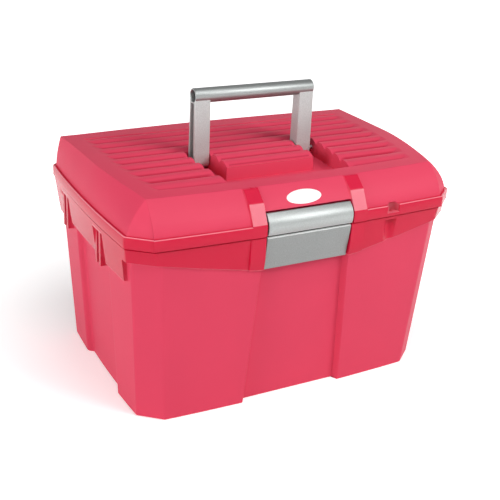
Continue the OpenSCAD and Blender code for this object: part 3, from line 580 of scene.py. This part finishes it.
def top_grid(e):
    """The lid's top as a height over lines in X and Y; e is 0 outside and the wall thickness inside.
    A rib has a short flat crest, a front that falls with a power of 1.25 and a heel that falls with a power
    of 1.3. The valleys between the ribs run out on ramps at the ends, and the recess, whose cheeks bow in
    with a power of 1.4 towards the front, drops round the block. Painted shade darkens the lower front of
    each rib and the recess, more towards its back, and a painted highlight lies along the block's front
    edge."""
    line, share, across = top_lines()
    eye = EYE_X + both_sides([0, 1.2, 2.4, 3.1, 3.6, 4.8, 6.2, 7.1, 7.6, 8.0, 8.6, 11])
    column = both_sides([0, 18, 34, 44, 49, 50.7, 52.1, 53.9, 55.1, 60, 67.5, 68.4, BEND_IN, 73,
                         RECESS_HALF - EDGE, RECESS_HALF + EDGE, 86, *eye, 119])
    in_field = (line > FIELD_FRONT) & (line < FIELD_BACK)
    rise = np.clip((RIB_FRONT - across)/RIB_FRONT, 0, 1)**1.25
    heel = np.clip((across - RIB_HEEL)/(1 - RIB_HEEL), 0, 1)**1.3
    cut = RIB_DEPTH*np.maximum(rise, heel)*in_field
    field = flank(line) - FIELD_IN
    ramp = field - cut/RIB_RAMP
    rim = flank(line) - 0.3*(np.abs(line) > CREASE_HD - 1)
    tail = np.stack([ramp - 9, ramp - 0.5, ramp + 0.5, (ramp + field)/2 + 0.9, field + 1.2, field + 2.0,
                     (field + rim)/2 + 1, rim - 4, rim - 1.6, rim], 1)
    cheek = CHEEK_BACK - CHEEK_BOW*np.clip((CHEEK_START - line)/CHEEK_RUN, 0, 1)[:, None]**1.4
    reach = np.abs(column)
    inner = BEND_IN + (reach - BEND_IN)*(cheek - EDGE - BEND_IN)/(RECESS_HALF - EDGE - BEND_IN)
    outer = BEND_OUT - (BEND_OUT - reach)*(BEND_OUT - EDGE - cheek)/(BEND_OUT - EDGE - RECESS_HALF)
    bent = np.where(reach < BEND_IN + 0.1, reach, np.where(reach < RECESS_HALF, inner, outer))
    column = np.where(reach < BEND_OUT, bent*np.sign(column), column)
    x = np.concatenate([-tail[:, ::-1], column, tail], 1)
    bow = BOW_Y*(1 - np.clip(x/CREASE_HW, -1, 1)**2)
    y = line[:, None] + (np.sign(line)*share)[:, None]*bow
    z = crown(y)
    ribs = np.minimum(cut[:, None], RIB_RAMP*np.clip(field[:, None] - np.abs(x), 0, None))
    block = (np.abs(x) < BLOCK_HALF) & (line > BLOCK_FRONT)[:, None]
    pit = (np.abs(x) < cheek) & (in_field & (line < RECESS_BACK))[:, None] & ~block
    if e > 0:
        z = np.where(pit, RECESS_Z - e, z - e - RIB_DEPTH - 0.3)
        walls_x = np.array([0, BLOCK_HALF, RECESS_HALF, INSIDE_KEEP_X, FAR])
        x = np.sign(x)*np.interp(np.abs(x), walls_x, walls_x + e*np.array([0, -1, 1, 0, 0]))
        walls_y = np.array([-FAR, INSIDE_KEEP_FRONT, FIELD_FRONT - 2, BLOCK_FRONT, RECESS_BACK,
                            INSIDE_KEEP_BACK, FAR])
        y = np.interp(y, walls_y, walls_y + e*np.array([0, 0, -1, 1, 1, 0, 0]))
        x = x*(1 - e/FLANK_HW)
        y = y*(1 - 0.5*e/CREASE_HD)
    else:
        brink = block & (line < BLOCK_FRONT + 0.5)[:, None]
        z = np.where(pit, RECESS_Z, z - ribs - EDGE*brink)
    # A painted highlight line along the block's front edge.
    edge = block & (np.abs(line - BLOCK_FRONT - EDGE) < 0.05)[:, None]
    # Painted shade: the recess darkens towards its back and each rib's lower front darkens, standing for the
    # shadow in the valleys.
    recess_shade = np.interp(line, [BLOCK_FRONT, RECESS_BACK], [0.0, RECESS_SHADE])
    clear = (np.abs(x) > cheek + 4) | (line > RECESS_BACK + 1.5)[:, None]
    clear |= (np.abs(x) < BLOCK_HALF - 5) & (line > BLOCK_FRONT + 2)[:, None]
    painted_shade = np.clip((ribs/RIB_DEPTH - SHADE_FROM)/SHADE_RUN, 0, 1)*clear
    shine = np.where(pit, recess_shade[:, None], np.where(edge, BLOCK_EDGE_HIGHLIGHT, RIB_SHADE*painted_shade))
    return np.stack([x, y, z], -1), shine


def top_border(top):
    """The loop of points round the top's edge, with more at each corner for the facet that ends there."""
    extra = len(LID_FACET)
    more = lambda p: np.repeat(p[None], extra, 0)
    front, right, back, left = top[0], top[1:-1, -1], top[-1, ::-1], top[1:-1, 0][::-1]
    loop = np.concatenate([front, more(front[-1]), right, more(back[0]), back, more(back[-1]), left,
                           more(front[0])])
    sizes = [len(front), extra, len(right), extra, len(back), extra, len(left), extra]
    return loop, np.concatenate([np.full(n, k) for k, n in enumerate(sizes)])


def lid_shell():
    """The lid's sides as columns that hang from the loop round its top, closed by the inside of the top."""
    top, top_shine = top_grid(0.0)
    ceiling, _ = top_grid(LID_WALL)
    loop, part = top_border(top)
    under, _ = top_border(ceiling)
    front, wide = part == 0, np.abs(loop[:, 0])
    corner = np.where(part == 4, BACK_HW, CREASE_HW)
    facet_x, facet_y, kept = BAND_HW - CORNER_X, BAND_HD - CORNER_Y, LID_KEEP_X
    along = np.where(wide > kept, kept + (wide - kept)*(facet_x - kept)/(corner - kept), wide)
    a = np.where(part % 4 == 0, along*np.sign(loop[:, 0]), loop[:, 1]*facet_y/CREASE_HD)
    for k in (1, 3, 5, 7):
        a[part == k] = LID_FACET
    pillar = front & (wide > BAY_HALF) & (wide < PILLAR_HALF)
    flush = front & (wide < PILLAR_HALF)

    def band(inset):
        """Plan of the band, moved in by an inset."""
        return plan(part, a, BAND_HW - inset, BAND_HD - inset, CORNER_X - INSET_CUT*inset,
                    CORNER_Y - INSET_CUT*inset, BOW_X, BOW_Y, keep_x=kept, keep_y=LID_KEEP_Y)

    def carve(x, y, z):
        """Pillars beside the latch, laid on the front in straight runs; the flat pocket behind the latch and
        the padlock recess, a cylinder that a dome closes at its top, are cut into it."""
        y = np.where(pillar, np.minimum(y, np.interp(z, POST_Z, POST_Y)), y)
        y = np.where(front & (wide < BAY_HALF) & (z < BAY_TOP), BAY_Y, y)
        dome = np.clip(z - BAND_Z + DOME_START, 0, None)*DOME_PULL
        dip = EYE_Y + np.sqrt(np.clip(EYE_R**2 - (x - EYE_X)**2 - dome**2, 0, None))
        return np.where(front & (np.abs(x - EYE_X) < EYE_R) & (z > LUG_TOP), np.maximum(y, dip), y)

    def hollow(x, y, z):
        """The same pocket and recess seen from inside, one wall further in."""
        pocket = front & (wide < BAY_HALF + LID_WALL) & (z < BAY_TOP + LID_WALL)
        y = np.where(pocket, np.maximum(y, BAY_Y + LID_WALL), y)
        dip = EYE_Y + np.sqrt(np.clip(EYE_BOSS**2 - (x - EYE_X)**2, 0, None))
        return np.where(front & (np.abs(x - EYE_X) < EYE_BOSS), np.maximum(y, dip), y)

    low_x, low_y = band(STEP_W)
    t = np.array([1.0, 0.985, 0.96, 0.92, 0.87, 0.8, 0.72, 0.655, 0.62, 0.54, 0.46, 0.37, 0.345, 0.25, 0.15,
                  0.07, 0.02])[:, None]
    x, y = low_x + (loop[:, 0] - low_x)*lean(t), low_y + (loop[:, 1] - low_y)*lean(t)
    z = BAND_Z + (loop[:, 2] - BAND_Z)*t
    dome = np.stack([x, np.where(t < 1, carve(x, y, z), y), z], -1)

    step = np.array([[3.2, 215.9, 216.8], [1.7, 216.2, 216.6], [1.1, 216.3, 216.4], [0.35, 215.95, 216.0],
                     [0.0, 215.1, 215.2], [0.0, LUG_TOP + 0.4, LUG_TOP + 0.4]])[:, :, None]
    x, y = band(step[:, 0])
    z = np.where(flush, step[:, 2], step[:, 1])
    brow = np.stack([x, carve(x, y, z), z], -1)

    s = np.linspace(0.02, 1, 11)[:, None]
    face_x, face_y = band(0.0)
    back_y = brow[-1, :, 1]
    in_eye = front & (np.abs(face_x - EYE_X) < EYE_R)
    y = back_y + (face_y - back_y)*s
    y = np.where(front & (wide < BAY_HALF), BAY_Y, np.where(pillar, np.minimum(face_y, POST_FACE_Y), y))
    hole = in_eye & (np.hypot(face_x - EYE_X, y - EYE_HOLE_Y) < EYE_HOLE_R)
    z = np.where(in_eye, LUG_TOP - EYE_HOLE_DEEP*hole, LUG_TOP + 0.3 - 0.6*s)
    shelf = np.stack([face_x + 0*s, y, z], -1)

    skirt = np.array([[0.0, 207.2], [0.0, 204.4], [0.25, 203.7], [0.9, LID_Z]])[:, :, None]
    x, y = band(skirt[:, 0])
    z = skirt[:, 1] + 0*x
    hem = np.stack([x, carve(x, y, np.minimum(z, LUG_TOP)), z], -1)

    turn = np.array([[2.6, LID_Z], [3.3, 204.2], [3.3, 213.5]])[:, :, None]
    x, y = band(turn[:, 0])
    z = turn[:, 1] + 0*x
    lining = np.stack([x, hollow(x, y, z), z], -1)
    in_x, in_y = band(STEP_W + LID_WALL)
    t = np.array([0.0, 0.2, 0.4, 0.43, 0.48, 0.6, 0.8, 1.0])[:, None]
    x, y = in_x + (under[:, 0] - in_x)*lean(t), in_y + (under[:, 1] - in_y)*lean(t)
    z = VAULT_Z + (under[:, 2] - VAULT_Z)*t
    vault = np.stack([x, np.where(t < 1, hollow(x, y, z), y), z], -1)

    side = np.concatenate([dome, brow, shelf, hem, lining, vault])
    # The band's top edge gets a painted highlight line.
    painted_highlight = np.array([1.0, 1.0, 1.2, 1.9, 1.0, 1.0])[:, None]
    # In the padlock recess painted light lifts the shade of its walls and shelf.
    edge = np.where(flush, 1.0, np.where(in_eye, EYE_PAINTED_LIGHT, painted_highlight))
    # Below the knee the pillars carry a painted highlight; above it they are only polished.
    post = np.where(pillar, np.where(dome[..., 2] < KNEE_Z, 1.4, 0.9), 0.0)
    shine = np.concatenate([post, edge, np.where(in_eye, EYE_PAINTED_LIGHT, even(shelf, 1.0)), even(hem, 1.0),
                            even(lining, INSIDE_SHINE), even(vault, INSIDE_SHINE)])
    return [(top, False, top_shine), (side, True, shine), (ceiling, False, INSIDE_SHINE)]


lid_patches = lid_shell()
for middle in (-HINGE_X, HINGE_X):
    ends = middle - LID_KNUCKLE_HALF, middle + LID_KNUCKLE_HALF
    lid_patches.append((ring_x(*ends, HINGE_Y, RIM_Z, KNUCKLE_R, PIN_BORE_R), True, KNUCKLE_SHINE))
    web = [[LID_WEB_Y, LID_Z + 0.2], [HINGE_Y - 2.6, LID_Z + 0.2], [HINGE_Y - 2, LID_Z + 5.0],
           [WEB_KNEE_Y, LID_Z + 7], [LID_WEB_Y, LID_Z + 8]]
    lid_patches.append((rounded_bar(*ends, web), True, KNUCKLE_SHINE))
make_piece("lid_shell", lid_patches, red_skin, "lid", ["lid"])


# Label: a blank white oval of glossy film stuck on the lid's front slope above the latch.
# It follows the slope's curve and stands a third of a millimetre proud.
LABEL_X, LABEL_Z, LABEL_W, LABEL_H, FILM, CREASE_Z = -3.3, 236.0, 41.0, 16.0, 0.35, 248.0
FILM_DULL, FILM_WHITE = (0.9, 0.9, 0.9), (0.95, 0.95, 0.95)


def slope_y(z):
    """Front slope of the dome near the middle of the front, which leans in from the band to the crease."""
    rise = (z - BAND_Z)/(CREASE_Z - BAND_Z)
    return -(BAND_HD - STEP_W + BOW_Y) + (BAND_HD - STEP_W - CREASE_HD)*lean(rise)


def label_film():
    """Oval in rings from its middle out and back under itself: x and z run on an ellipse, y lies on the
    slope and is lifted off it along the slope's normal."""
    ring = np.array([[0, FILM], [0.35, FILM], [0.7, FILM], [0.93, FILM], [0.985, FILM*0.9], [1.0, FILM*0.4],
                     [1.0, -FILM], [0.5, -FILM], [0.0, -FILM]])
    t = np.linspace(0, 2*np.pi, 72, endpoint=False)
    tilt = math.atan2(slope_y(LABEL_Z + 4) - slope_y(LABEL_Z - 4), 8)
    x = LABEL_X + ring[:, :1]*LABEL_W/2*np.cos(t)
    z = LABEL_Z + ring[:, :1]*LABEL_H/2*math.cos(tilt)*np.sin(t)
    y = slope_y(z) - ring[:, 1:]*math.cos(tilt)
    return np.stack([x, y, z + ring[:, 1:]*math.sin(tilt)], -1)


def white_film(name):
    """Glossy white film: a hardly seen mottle in tone and gloss."""
    mat, tree, shader = new_material(name)
    height, mottle = skin_at(tree, 600.0)
    tree.links.new(blend(tree, mottle, FILM_DULL, FILM_WHITE), shader.inputs["Base Color"])
    tree.links.new(remap(tree, height, 0.2, 0.32), shader.inputs["Roughness"])
    return mat


make_piece("label_oval", [(label_film(), True, 1.0)], white_film("white_label_film"), "lid",
           ["label_badge"])


# Latch: two mouldings in silver-grey metallic plastic that swing together on one pin in the lid's pillars.
# The upper one is a bent hood with a hinge barrel, the lower one a flat flap with a bevelled top edge.
LATCH_HALF, LATCH_Y, LATCH_Z, BARREL_R, LATCH_BORE_R, LATCH_T = 50.4, -131.0, 221.0, 4.5, 2.05, 3.0
HOOD_TOP, HOOD_BELLY, HOOD_FOOT = (-132.2, 225.9), (-144.68, 217.5), (-138.8, 204.0)
FLAP_Y, FLAP_LEAN, FLAP_FOOT_Z, FLAP_BEVEL, LIP_Y, LIP_Z = -138.0, 5.5, 164.0, 2.6, -131.0, 169.0
# The flap bevel's polish paints a highlight on it.
BEVEL_FOOT_Z, BEVEL_TOP_Z, BEVEL_HIGHLIGHT = RIM_Z - FLAP_BEVEL, RIM_Z - 1.2, 1.35
TONGUE_FRONT_Y, TONGUE_BACK_Y, SOFT_STEPS = -135.6, -133.8, 5
# The last two colours on the next line are a painted highlight and painted shade.
SILVER_TINT, PAINTED_HIGHLIGHT_SILVER, PAINTED_SHADE_SILVER = (0.95, 1.0, 0.985), (0.9, 0.91, 0.9), (0.035, 0.033, 0.032)


def bend(start, pull, end, count=24):
    """Quadratic curve from one end to the other, drawn towards a point between them."""
    t = np.linspace(0, 1, count)[:, None]
    start, pull, end = np.array(start), np.array(pull), np.array(end)
    return start*(1 - t)**2 + pull*2*t*(1 - t) + end*t**2


def soften(points, radius):
    """Closed outline in which a small quadratic curve, which starts and ends a radius away, replaces each
    corner."""
    p = np.asarray(points, float)
    back, ahead = np.roll(p, 1, 0) - p, np.roll(p, -1, 0) - p
    size_b, size_a = [np.linalg.norm(way, axis=1, keepdims=True) for way in (back, ahead)]
    start = p + back/size_b*np.minimum(radius, size_b*0.45)
    end = p + ahead/size_a*np.minimum(radius, size_a*0.45)
    t = np.linspace(0, 1, SOFT_STEPS)[None, :, None]
    return (start[:, None]*(1 - t)**2 + p[:, None]*2*t*(1 - t) + end[:, None]*t**2).reshape(-1, 2)


def ribbon_x(half, outer, inner, shine, ease=0.8):
    """A strip between an outer and an inner line of Y and Z, carried along X; its ends are eased and
    closed."""
    loop = np.concatenate([outer, inner[::-1]])
    middle = np.concatenate([(outer + inner)/2, ((outer + inner)/2)[::-1]])
    thin = loop + (middle - loop)*0.35
    drawn = loop + (middle - loop)*0.1
    rows = [(-half, thin), (-half + ease*0.3, drawn), (-half + ease, loop), (half - ease, loop),
            (half - ease*0.3, drawn), (half, thin)]
    skin = np.stack([np.concatenate([np.full((len(q), 1), x), q], 1) for x, q in rows])
    count = len(outer)
    caps = [np.stack([skin[r, :count], skin[r, count:][::-1]]) for r in (0, -1)]
    return [(skin, True, shine)] + [(cap, False, shine) for cap in caps]


def silver_plastic(name, plain, bright):
    """Silver-grey plastic with fine metal flake: the flake shifts tone and gloss, over a faint moulded
    skin. Plain and bright give tone and metal share where polish is 0 and 1. Towards 2 a painted highlight
    turns it pale, and towards -1 painted shade turns it dark."""
    mat, tree, shader = new_material(name)
    height, _ = skin_at(tree, 1000.0)
    polish = polish_of(tree)
    body = blend(tree, polish, *[tuple(tone*c for c in SILVER_TINT) for tone in (plain[0], bright[0])])
    flake = tree.nodes.new("ShaderNodeVectorMath")
    flake.operation = "SCALE"
    tree.links.new(paint_light(tree, polish, body, PAINTED_HIGHLIGHT_SILVER, PAINTED_SHADE_SILVER), flake.inputs[0])
    tree.links.new(remap(tree, height, 0.86, 1.1, 0.3, 0.7), flake.inputs["Scale"])
    tree.links.new(flake.outputs["Vector"], shader.inputs["Base Color"])
    tree.links.new(remap(tree, polish, plain[1], bright[1]), shader.inputs["Metallic"])
    tree.links.new(remap(tree, height, 0.34, 0.48), shader.inputs["Roughness"])
    relief(tree, shader, height, 0.12, 0.0002)
    return mat


# The flap's darker tone and the hood's lighter one are painted shade and light: both are the same plastic.
latch_silver = silver_plastic("latch_silver_plastic", (0.28, 0.5), (0.42, 0.45))
hood_outer = bend(HOOD_TOP, HOOD_BELLY, HOOD_FOOT)
hood_inner = bend((HOOD_TOP[0] + 0.8, HOOD_TOP[1] - LATCH_T), (FRONT_Y - 1.2, LATCH_Z - 4.5),
                  (HOOD_FOOT[0] + LATCH_T, HOOD_FOOT[1]))
hood_patches = ribbon_x(LATCH_HALF, hood_outer, hood_inner, 1.0)
barrel = ring_x(-LATCH_HALF + 0.6, LATCH_HALF - 0.6, LATCH_Y, LATCH_Z, BARREL_R, LATCH_BORE_R)
hood_patches.append((barrel, True, 1.0))
make_piece("latch_hood_skin", hood_patches, latch_silver, "latch", ["latch_hood"])

down = np.linspace(0, 1, 12)[:, None]
fall = np.array([FLAP_LEAN*0.94, FLAP_FOOT_Z + 0.6 - BEVEL_FOOT_Z])
flap_face = np.array([FLAP_Y, BEVEL_FOOT_Z]) + down*fall
bevel = [[FLAP_Y + 2.0, BEVEL_TOP_Z], [FLAP_Y + 1.75, BEVEL_TOP_Z + 0.05],
         [FLAP_Y + 0.2, BEVEL_FOOT_Z + 0.25]]
flap_front = np.concatenate([bevel, flap_face, [[FLAP_Y + FLAP_LEAN + 0.5, FLAP_FOOT_Z]]])
flap_back = flap_front + np.array([LATCH_T, 0])
flap_back[:3] = [[FLAP_Y + 2.4, BEVEL_TOP_Z - 0.2], [FLAP_Y + 2.6, BEVEL_TOP_Z - 0.6],
                 [FLAP_Y + LATCH_T, BEVEL_FOOT_Z]]
flap_back[-1] = [FLAP_Y + FLAP_LEAN + LATCH_T - 0.5, FLAP_FOOT_Z]
flap_patches = ribbon_x(LATCH_HALF, flap_front, flap_back, 0.0)
flap_skin = flap_patches[0][0]
flap_shine = even(flap_skin, 0.0)
# The bevel gets a painted highlight.
flap_shine[:, 1:3] = BEVEL_HIGHLIGHT
flap_patches[0] = (flap_skin, True, flap_shine)
lip = [[BAY_Y - 0.5, LIP_Z], [BAY_Y - 0.5, LIP_Z + 2], [LIP_Y - 0.5, LIP_Z + 2], [LIP_Y, LIP_Z - 2]]
flap_patches.append((rounded_bar(-LATCH_HALF + 1, LATCH_HALF - 1, soften(lip, 0.5)), True, 1.0))
# The tongue is painted dark to stand for the shadow in the gap between hood and flap.
tongue = [[TONGUE_FRONT_Y, RIM_Z - 2.5], [TONGUE_BACK_Y, RIM_Z - 2.5], [TONGUE_BACK_Y, RIM_Z + 5],
          [TONGUE_FRONT_Y, RIM_Z + 5]]
flap_patches.append((rounded_bar(-LATCH_HALF + 1, LATCH_HALF - 1, soften(tongue, 0.4)), True, -1.0))
make_piece("latch_flap_plate", flap_patches, latch_silver, "latch", ["latch_flap"])


# Handle: a bail moulded in the same silver-grey plastic. The grip is a tube that is open at its ends,
# and each leg is a channel open to the outside, which folds on a steel pin beside the centre block.
GRIP_HALF, GRIP_R, GRIP_BORE_R, GRIP_Z, PIVOT_Z = 73.5, 8.2, 6.2, 315.3, 242.5
LEG_IN, FOOT_R, LEG_HALF, LEG_FRONT, LEG_BACK, LEG_WEB = 55.5, 8.5, 7.2, 4.6, 1.8, 2.4
CHANNEL_LOW, CHANNEL_HIGH = PIVOT_Z + 3.5, GRIP_Z - 9.4
MARK_X, MARK_Y, MARK_Z, MARK_R, MARK_PROUD = LEG_IN + 8.5, -8.35, PIVOT_Z + 7.5, 3.4, 0.12


def grip_tube():
    """Open tube along X with rounded ends: a closed profile of length and radius, turned about the axis."""
    turn = np.linspace(-np.pi/2, np.pi/2, 7)
    round_mid, round_r = (GRIP_R + GRIP_BORE_R)/2, (GRIP_R - GRIP_BORE_R)/2
    end = np.stack([GRIP_HALF - round_r + round_r*np.cos(turn), round_mid + round_r*np.sin(turn)], 1)
    prof = np.concatenate([end, end[::-1]*[-1, 1], end[:1]])
    t = np.linspace(0, 2*np.pi, 64, endpoint=False)
    return np.stack([prof[:, :1] + 0*t, prof[:, 1:]*np.cos(t), GRIP_Z + prof[:, 1:]*np.sin(t)], -1)


def leg(side):
    """Channel-section leg as rows up its height: a softened C in plan whose slot closes at the foot and
    under the grip. The half depth follows the circle of the foot and then tapers straight; the top follows
    a circle within the tube's wall. The slot's columns get painted shade for the shadow in the channel."""
    foot = PIVOT_Z - FOOT_R*np.cos(np.linspace(0.02, 1, 10)*np.pi/2)
    rise = np.array([CHANNEL_LOW - 1, CHANNEL_LOW + 1, 258, 274, 290, CHANNEL_HIGH - 1, CHANNEL_HIGH + 1,
                     GRIP_Z])
    height = np.concatenate([foot[:1], foot, rise])
    half = np.where(height < PIVOT_Z, np.sqrt(np.clip(FOOT_R**2 - (height - PIVOT_Z)**2, 0.01, None)),
                    FOOT_R + (LEG_HALF - FOOT_R)*(height - PIVOT_Z)/(GRIP_Z - PIVOT_Z))
    slot = np.where((height > CHANNEL_LOW) & (height < CHANNEL_HIGH), GRIP_HALF - LEG_IN - LEG_WEB, 0.6)
    rows = []
    for h, d in zip(half, slot):
        front, back = min(LEG_FRONT, h*0.9), min(LEG_BACK, h*0.5)
        outline = [[GRIP_HALF, -h], [LEG_IN, -h], [LEG_IN, h], [GRIP_HALF, h], [GRIP_HALF, h - back],
                   [GRIP_HALF - d, h - back], [GRIP_HALF - d, front - h], [GRIP_HALF, front - h]]
        rows.append(soften(outline, 0.9))
    c = np.stack(rows)
    z = np.broadcast_to(height[:, None], c.shape[:2]).copy()
    c[0] = c[0].mean(0)
    centre = c[-1].mean(0)
    c = np.concatenate([c[:-1], centre + (c[-1] - centre)*np.array([1, 0.75, 0.5, 0.25, 0])[:, None, None]])
    cap = GRIP_Z - np.sqrt(np.clip(LEG_HALF**2 - c[-5:, :, 1]**2, 0, None))
    shade = np.zeros(c.shape[:2])
    # Painted shade inside the channel, standing for its shadow.
    shade[:len(slot) - 1, 5*SOFT_STEPS:7*SOFT_STEPS] = -1.0*(slot[:-1] > 1)[:, None]
    return np.stack([side*c[..., 0], c[..., 1], np.concatenate([z[:-1], cap])], -1), True, shade


def press_mark(x, y, z, r, proud):
    """Round mark of an ejector pin on the leg's front: a profile of radius and height, turned about Y into
    a flat disc with a small step at its rim."""
    ring = np.array([[0, proud], [0.8, proud], [0.93, proud], [1.0, 0.0], [1.0, -0.5], [0.0, -0.5]])
    t = np.linspace(0, 2*np.pi, 32, endpoint=False)
    return np.stack([x + r*ring[:, :1]*np.cos(t), y - ring[:, 1:] + 0*t, z + r*ring[:, :1]*np.sin(t)], -1)


handle_patches = [(grip_tube(), True, 1.0), leg(-1), leg(1)]
for side in (-1, 1):
    handle_patches.append((press_mark(side*MARK_X, MARK_Y, MARK_Z, MARK_R, MARK_PROUD), True, 0.0))
bail_silver = silver_plastic("bail_silver_plastic", (0.56, 0.25), (0.34, 0.7))
make_piece("bail_handle", handle_patches, bail_silver, "handle", ["handle"])


# Floor and light: a white sweep with soft studio light, and the camera of the photograph.
# The camera sees floor and sky white; in reflections the sky dims overhead, and as a light it is weaker.
FLOOR_HALF = 6.0
floor_mesh = bpy.data.meshes.new("floor")
corners = [(x*FLOOR_HALF, y*FLOOR_HALF, 0) for x, y in ((-1, -1), (1, -1), (1, 1), (-1, 1))]
floor_mesh.from_pydata(corners, [], [(0, 1, 2, 3)])
floor = bpy.data.objects.new("floor", floor_mesh)
bpy.context.scene.collection.objects.link(floor)
floor_white, sweep, matte = new_material("white_sweep")
matte.inputs["Base Color"].default_value = (0.9, 0.9, 0.9, 1)
matte.inputs["Roughness"].default_value = 0.9
matte.inputs["Specular IOR Level"].default_value = 0.0
matte.inputs["Emission Color"].default_value = (1, 1, 1, 1)
ray = sweep.nodes.new("ShaderNodeLightPath").outputs
shown = reckon(sweep, "MAXIMUM", ray["Is Camera Ray"], ray["Is Glossy Ray"])
shown = reckon(sweep, "MAXIMUM", shown, ray["Is Transmission Ray"])
spot = sweep.nodes.new("ShaderNodeTexCoord")
reach = sweep.nodes.new("ShaderNodeVectorMath")
reach.operation = "LENGTH"
sweep.links.new(spot.outputs["Object"], reach.inputs[0])
glow = remap(sweep, reach.outputs["Value"], 0.38, 0.95, 0.2, 0.6)
sweep.links.new(reckon(sweep, "MULTIPLY", glow, shown), matte.inputs["Emission Strength"])
floor_mesh.materials.append(floor_white)

world = bpy.data.worlds.new("studio")
bpy.context.scene.world = world
world.use_nodes = True
studio = world.node_tree
backdrop = studio.nodes["Background"]
backdrop.inputs["Color"].default_value = (1, 1, 1, 1)
sky = studio.nodes.new("ShaderNodeTexCoord")
split = studio.nodes.new("ShaderNodeSeparateXYZ")
studio.links.new(sky.outputs["Generated"], split.inputs["Vector"])
dim = remap(studio, split.outputs["Z"], 1.0, 0.3, 0.08, 0.45, "SMOOTHSTEP")
ray = studio.nodes.new("ShaderNodeLightPath").outputs
mirror = reckon(studio, "MAXIMUM", ray["Is Glossy Ray"], ray["Is Transmission Ray"])
shade = reckon(studio, "MULTIPLY", dim, remap(studio, mirror, 0.34, 1.0))
studio.links.new(reckon(studio, "MAXIMUM", shade, ray["Is Camera Ray"]), backdrop.inputs["Strength"])


def softbox(name, place, aim, size, watts):
    """Square studio softbox at a place, turned to face a point."""
    lamp = bpy.data.lights.new(name, "AREA")
    lamp.size = size
    lamp.energy = watts
    box = bpy.data.objects.new(name, lamp)
    bpy.context.scene.collection.objects.link(box)
    box.location = place
    box.rotation_euler = (Vector(aim) - Vector(place)).to_track_quat("-Z", "Y").to_euler()


softbox("left_softbox", place=(-2.2, -0.4, 0.7), aim=(0, 0, 0.12), size=1.2, watts=28)
softbox("front_softbox", place=(0.9, -1.3, 1.3), aim=(0, 0, 0.15), size=0.9, watts=19.5)
softbox("top_softbox", place=(-0.1, -0.8, 1.8), aim=(0, 0, 0.15), size=1.0, watts=12.5)
softbox("back_softbox", place=(2.0, 1.6, 0.5), aim=(0, 0, 0.12), size=1.0, watts=5)

# Camera, fitted to the photograph: its angles, the point that it looks at, its distance and its shift.
AIM, DISTANCE, SHIFT_RIGHT, SHIFT_UP = np.array([0, 0, 0.1174]), 1.1054, 0.00554, 0.0055
FOCAL, SENSOR = 66.99, 36.0
turn, tip, roll = math.radians(-28.98), math.radians(23.75), math.radians(2.97)
away = np.array([math.sin(turn)*math.cos(tip), -math.cos(turn)*math.cos(tip), math.sin(tip)])
across = np.array([math.cos(turn), math.sin(turn), 0.0])
upward = np.cross(away, across)
right = math.cos(roll)*across + math.sin(roll)*upward
above = -math.sin(roll)*across + math.cos(roll)*upward
stand = AIM + away*DISTANCE + right*SHIFT_RIGHT + above*SHIFT_UP
lens = bpy.data.cameras.new("photo_camera")
lens.lens = FOCAL
lens.sensor_width = SENSOR
camera = bpy.data.objects.new("photo_camera", lens)
bpy.context.scene.collection.objects.link(camera)
camera.matrix_world = Matrix([[right[i], above[i], away[i], stand[i]] for i in range(3)] + [[0, 0, 0, 1]])
bpy.context.scene.camera = camera
bpy.context.scene.view_settings.view_transform = "Standard"
